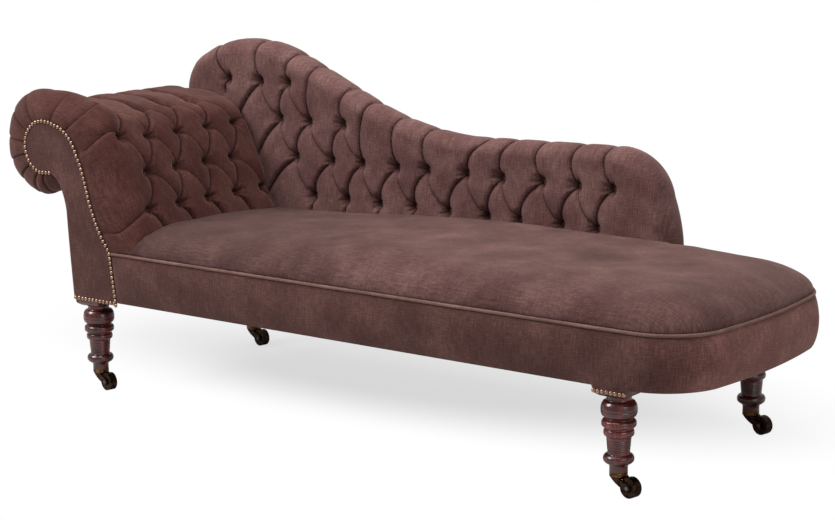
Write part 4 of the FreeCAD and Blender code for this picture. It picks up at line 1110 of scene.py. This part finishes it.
def room():
    """A white floor and backdrop. The camera sees mostly plain white and, in an oval centred towards the couch's back,
    a share of the lit floor: its rendered shadow, and painted shadow where less white is mixed in, fading out away from
    the couch."""
    material = bpy.data.materials.new("white_paper_floor")
    material.use_nodes = True
    tree = material.node_tree
    tree.nodes.clear()
    seen = add(tree, "ShaderNodeLightPath").outputs["Is Camera Ray"]
    place = add(tree, "ShaderNodeTexCoord").outputs["Object"]
    # Painted shadow: the oval in which less plain white is mixed in, so the floor shows darker there besides its
    # rendered shadow
    shadow_oval = {"Vector": place, "Location": (0.11, -0.43, 0.0), "Scale": (0.55, 1.3, 1.0)}
    flattened = add(tree, "ShaderNodeMapping", shadow_oval).outputs["Vector"]
    away = add(tree, "ShaderNodeVectorMath", {0: flattened}, operation="LENGTH").outputs["Value"]
    painted_shadow_fade = add(tree, "ShaderNodeMapRange", {"Value": away, 1: 0.3, 2: 0.72, 3: SHADOW_OVAL_WHITE, 4: 1.0},
              interpolation_type="SMOOTHSTEP").outputs[0]
    white = add(tree, "ShaderNodeEmission", {"Color": (1.0, 1.0, 1.0, 1.0), "Strength": 1.0}).outputs[0]
    paper = add(tree, "ShaderNodeBsdfDiffuse", {"Color": (0.6, 0.6, 0.6, 1.0)}).outputs[0]
    share = add(tree, "ShaderNodeMath", {0: seen, 1: painted_shadow_fade}, operation="MULTIPLY").outputs[0]
    both = add(tree, "ShaderNodeMixShader", {0: share, 1: paper, 2: white}).outputs[0]
    add(tree, "ShaderNodeOutputMaterial", {"Surface": both})
    mesh = bpy.data.meshes.new("studio_floor")
    size = 30.0
    mesh.from_pydata([(-size, -size, 0), (size, -size, 0), (size, size, 0), (-size, size, 0)], [], [(0, 1, 2, 3)])
    mesh.materials.append(material)
    floor = bpy.data.objects.new("studio_floor", mesh)
    bpy.context.scene.collection.objects.link(floor)
    world = bpy.data.worlds.new("studio")
    bpy.context.scene.world = world
    world.use_nodes = True
    tree = world.node_tree
    tree.nodes.clear()
    seen = add(tree, "ShaderNodeLightPath").outputs["Is Camera Ray"]
    strength = add(tree, "ShaderNodeMix", {"Factor": seen, 2: WORLD_LEVEL, 3: 1.0}).outputs[0]
    background = add(tree, "ShaderNodeBackground", {"Color": (1.0, 1.0, 1.0, 1.0), "Strength": strength}).outputs[0]
    add(tree, "ShaderNodeOutputWorld", {"Surface": background})


def set_up(obj, x, y, z, place):
    """Links an object and turns it to the given axes at its place."""
    bpy.context.scene.collection.objects.link(obj)
    obj.matrix_world = Matrix([[x[i], y[i], z[i], place[i]] for i in range(3)] + [[0.0, 0.0, 0.0, 1.0]])


def lamp(name, place, target, size, power):
    data = bpy.data.lights.new(name, "AREA")
    data.size = size
    data.energy = power
    z = np.array(place, float) - np.array(target, float)
    z /= np.linalg.norm(z)
    x = np.cross([0.0, 0.0, 1.0], z)
    x /= np.linalg.norm(x)
    y = np.cross(z, x)
    set_up(bpy.data.objects.new(name, data), x, y, z, place)


def camera():
    """The photograph's view: 88 mm lens on a 36 mm frame, turned 37.2 degrees and tilted 11.2 down."""
    data = bpy.data.cameras.new("photo_camera")
    data.sensor_width = 36.0
    data.sensor_fit = "HORIZONTAL"
    data.lens = 88.29
    data.clip_end = 100.0
    obj = bpy.data.objects.new("photo_camera", data)
    a, e, r = np.radians([37.172, 11.216, -0.5687])
    ahead = np.array([-np.sin(a) * np.cos(e), np.cos(a) * np.cos(e), -np.sin(e)])
    right = np.array([np.cos(a), np.sin(a), 0.0])
    up = np.cross(right, ahead)
    right, up = right * np.cos(r) + up * np.sin(r), up * np.cos(r) - right * np.sin(r)
    place = (2.70375, -3.49157, 1.20627)
    set_up(obj, right, up, -ahead, place)
    bpy.context.scene.camera = obj


WORLD_LEVEL = 0.34
# The share of plain white at the middle of the floor's painted shadow oval
SHADOW_OVAL_WHITE = 0.66
room()
lamp("soft_key", (-2.6, -2.6, 3.4), (0.0, 0.0, 0.4), 1.6, 150.0)
lamp("soft_fill", (3.4, -1.2, 1.4), (0.6, 0.0, 0.3), 1.6, 22.0)
lamp("soft_top", (0.3, -0.4, 3.4), (0.1, 0.0, 0.4), 2.0, 95.0)
camera()
bpy.context.scene.view_settings.view_transform = "Standard"
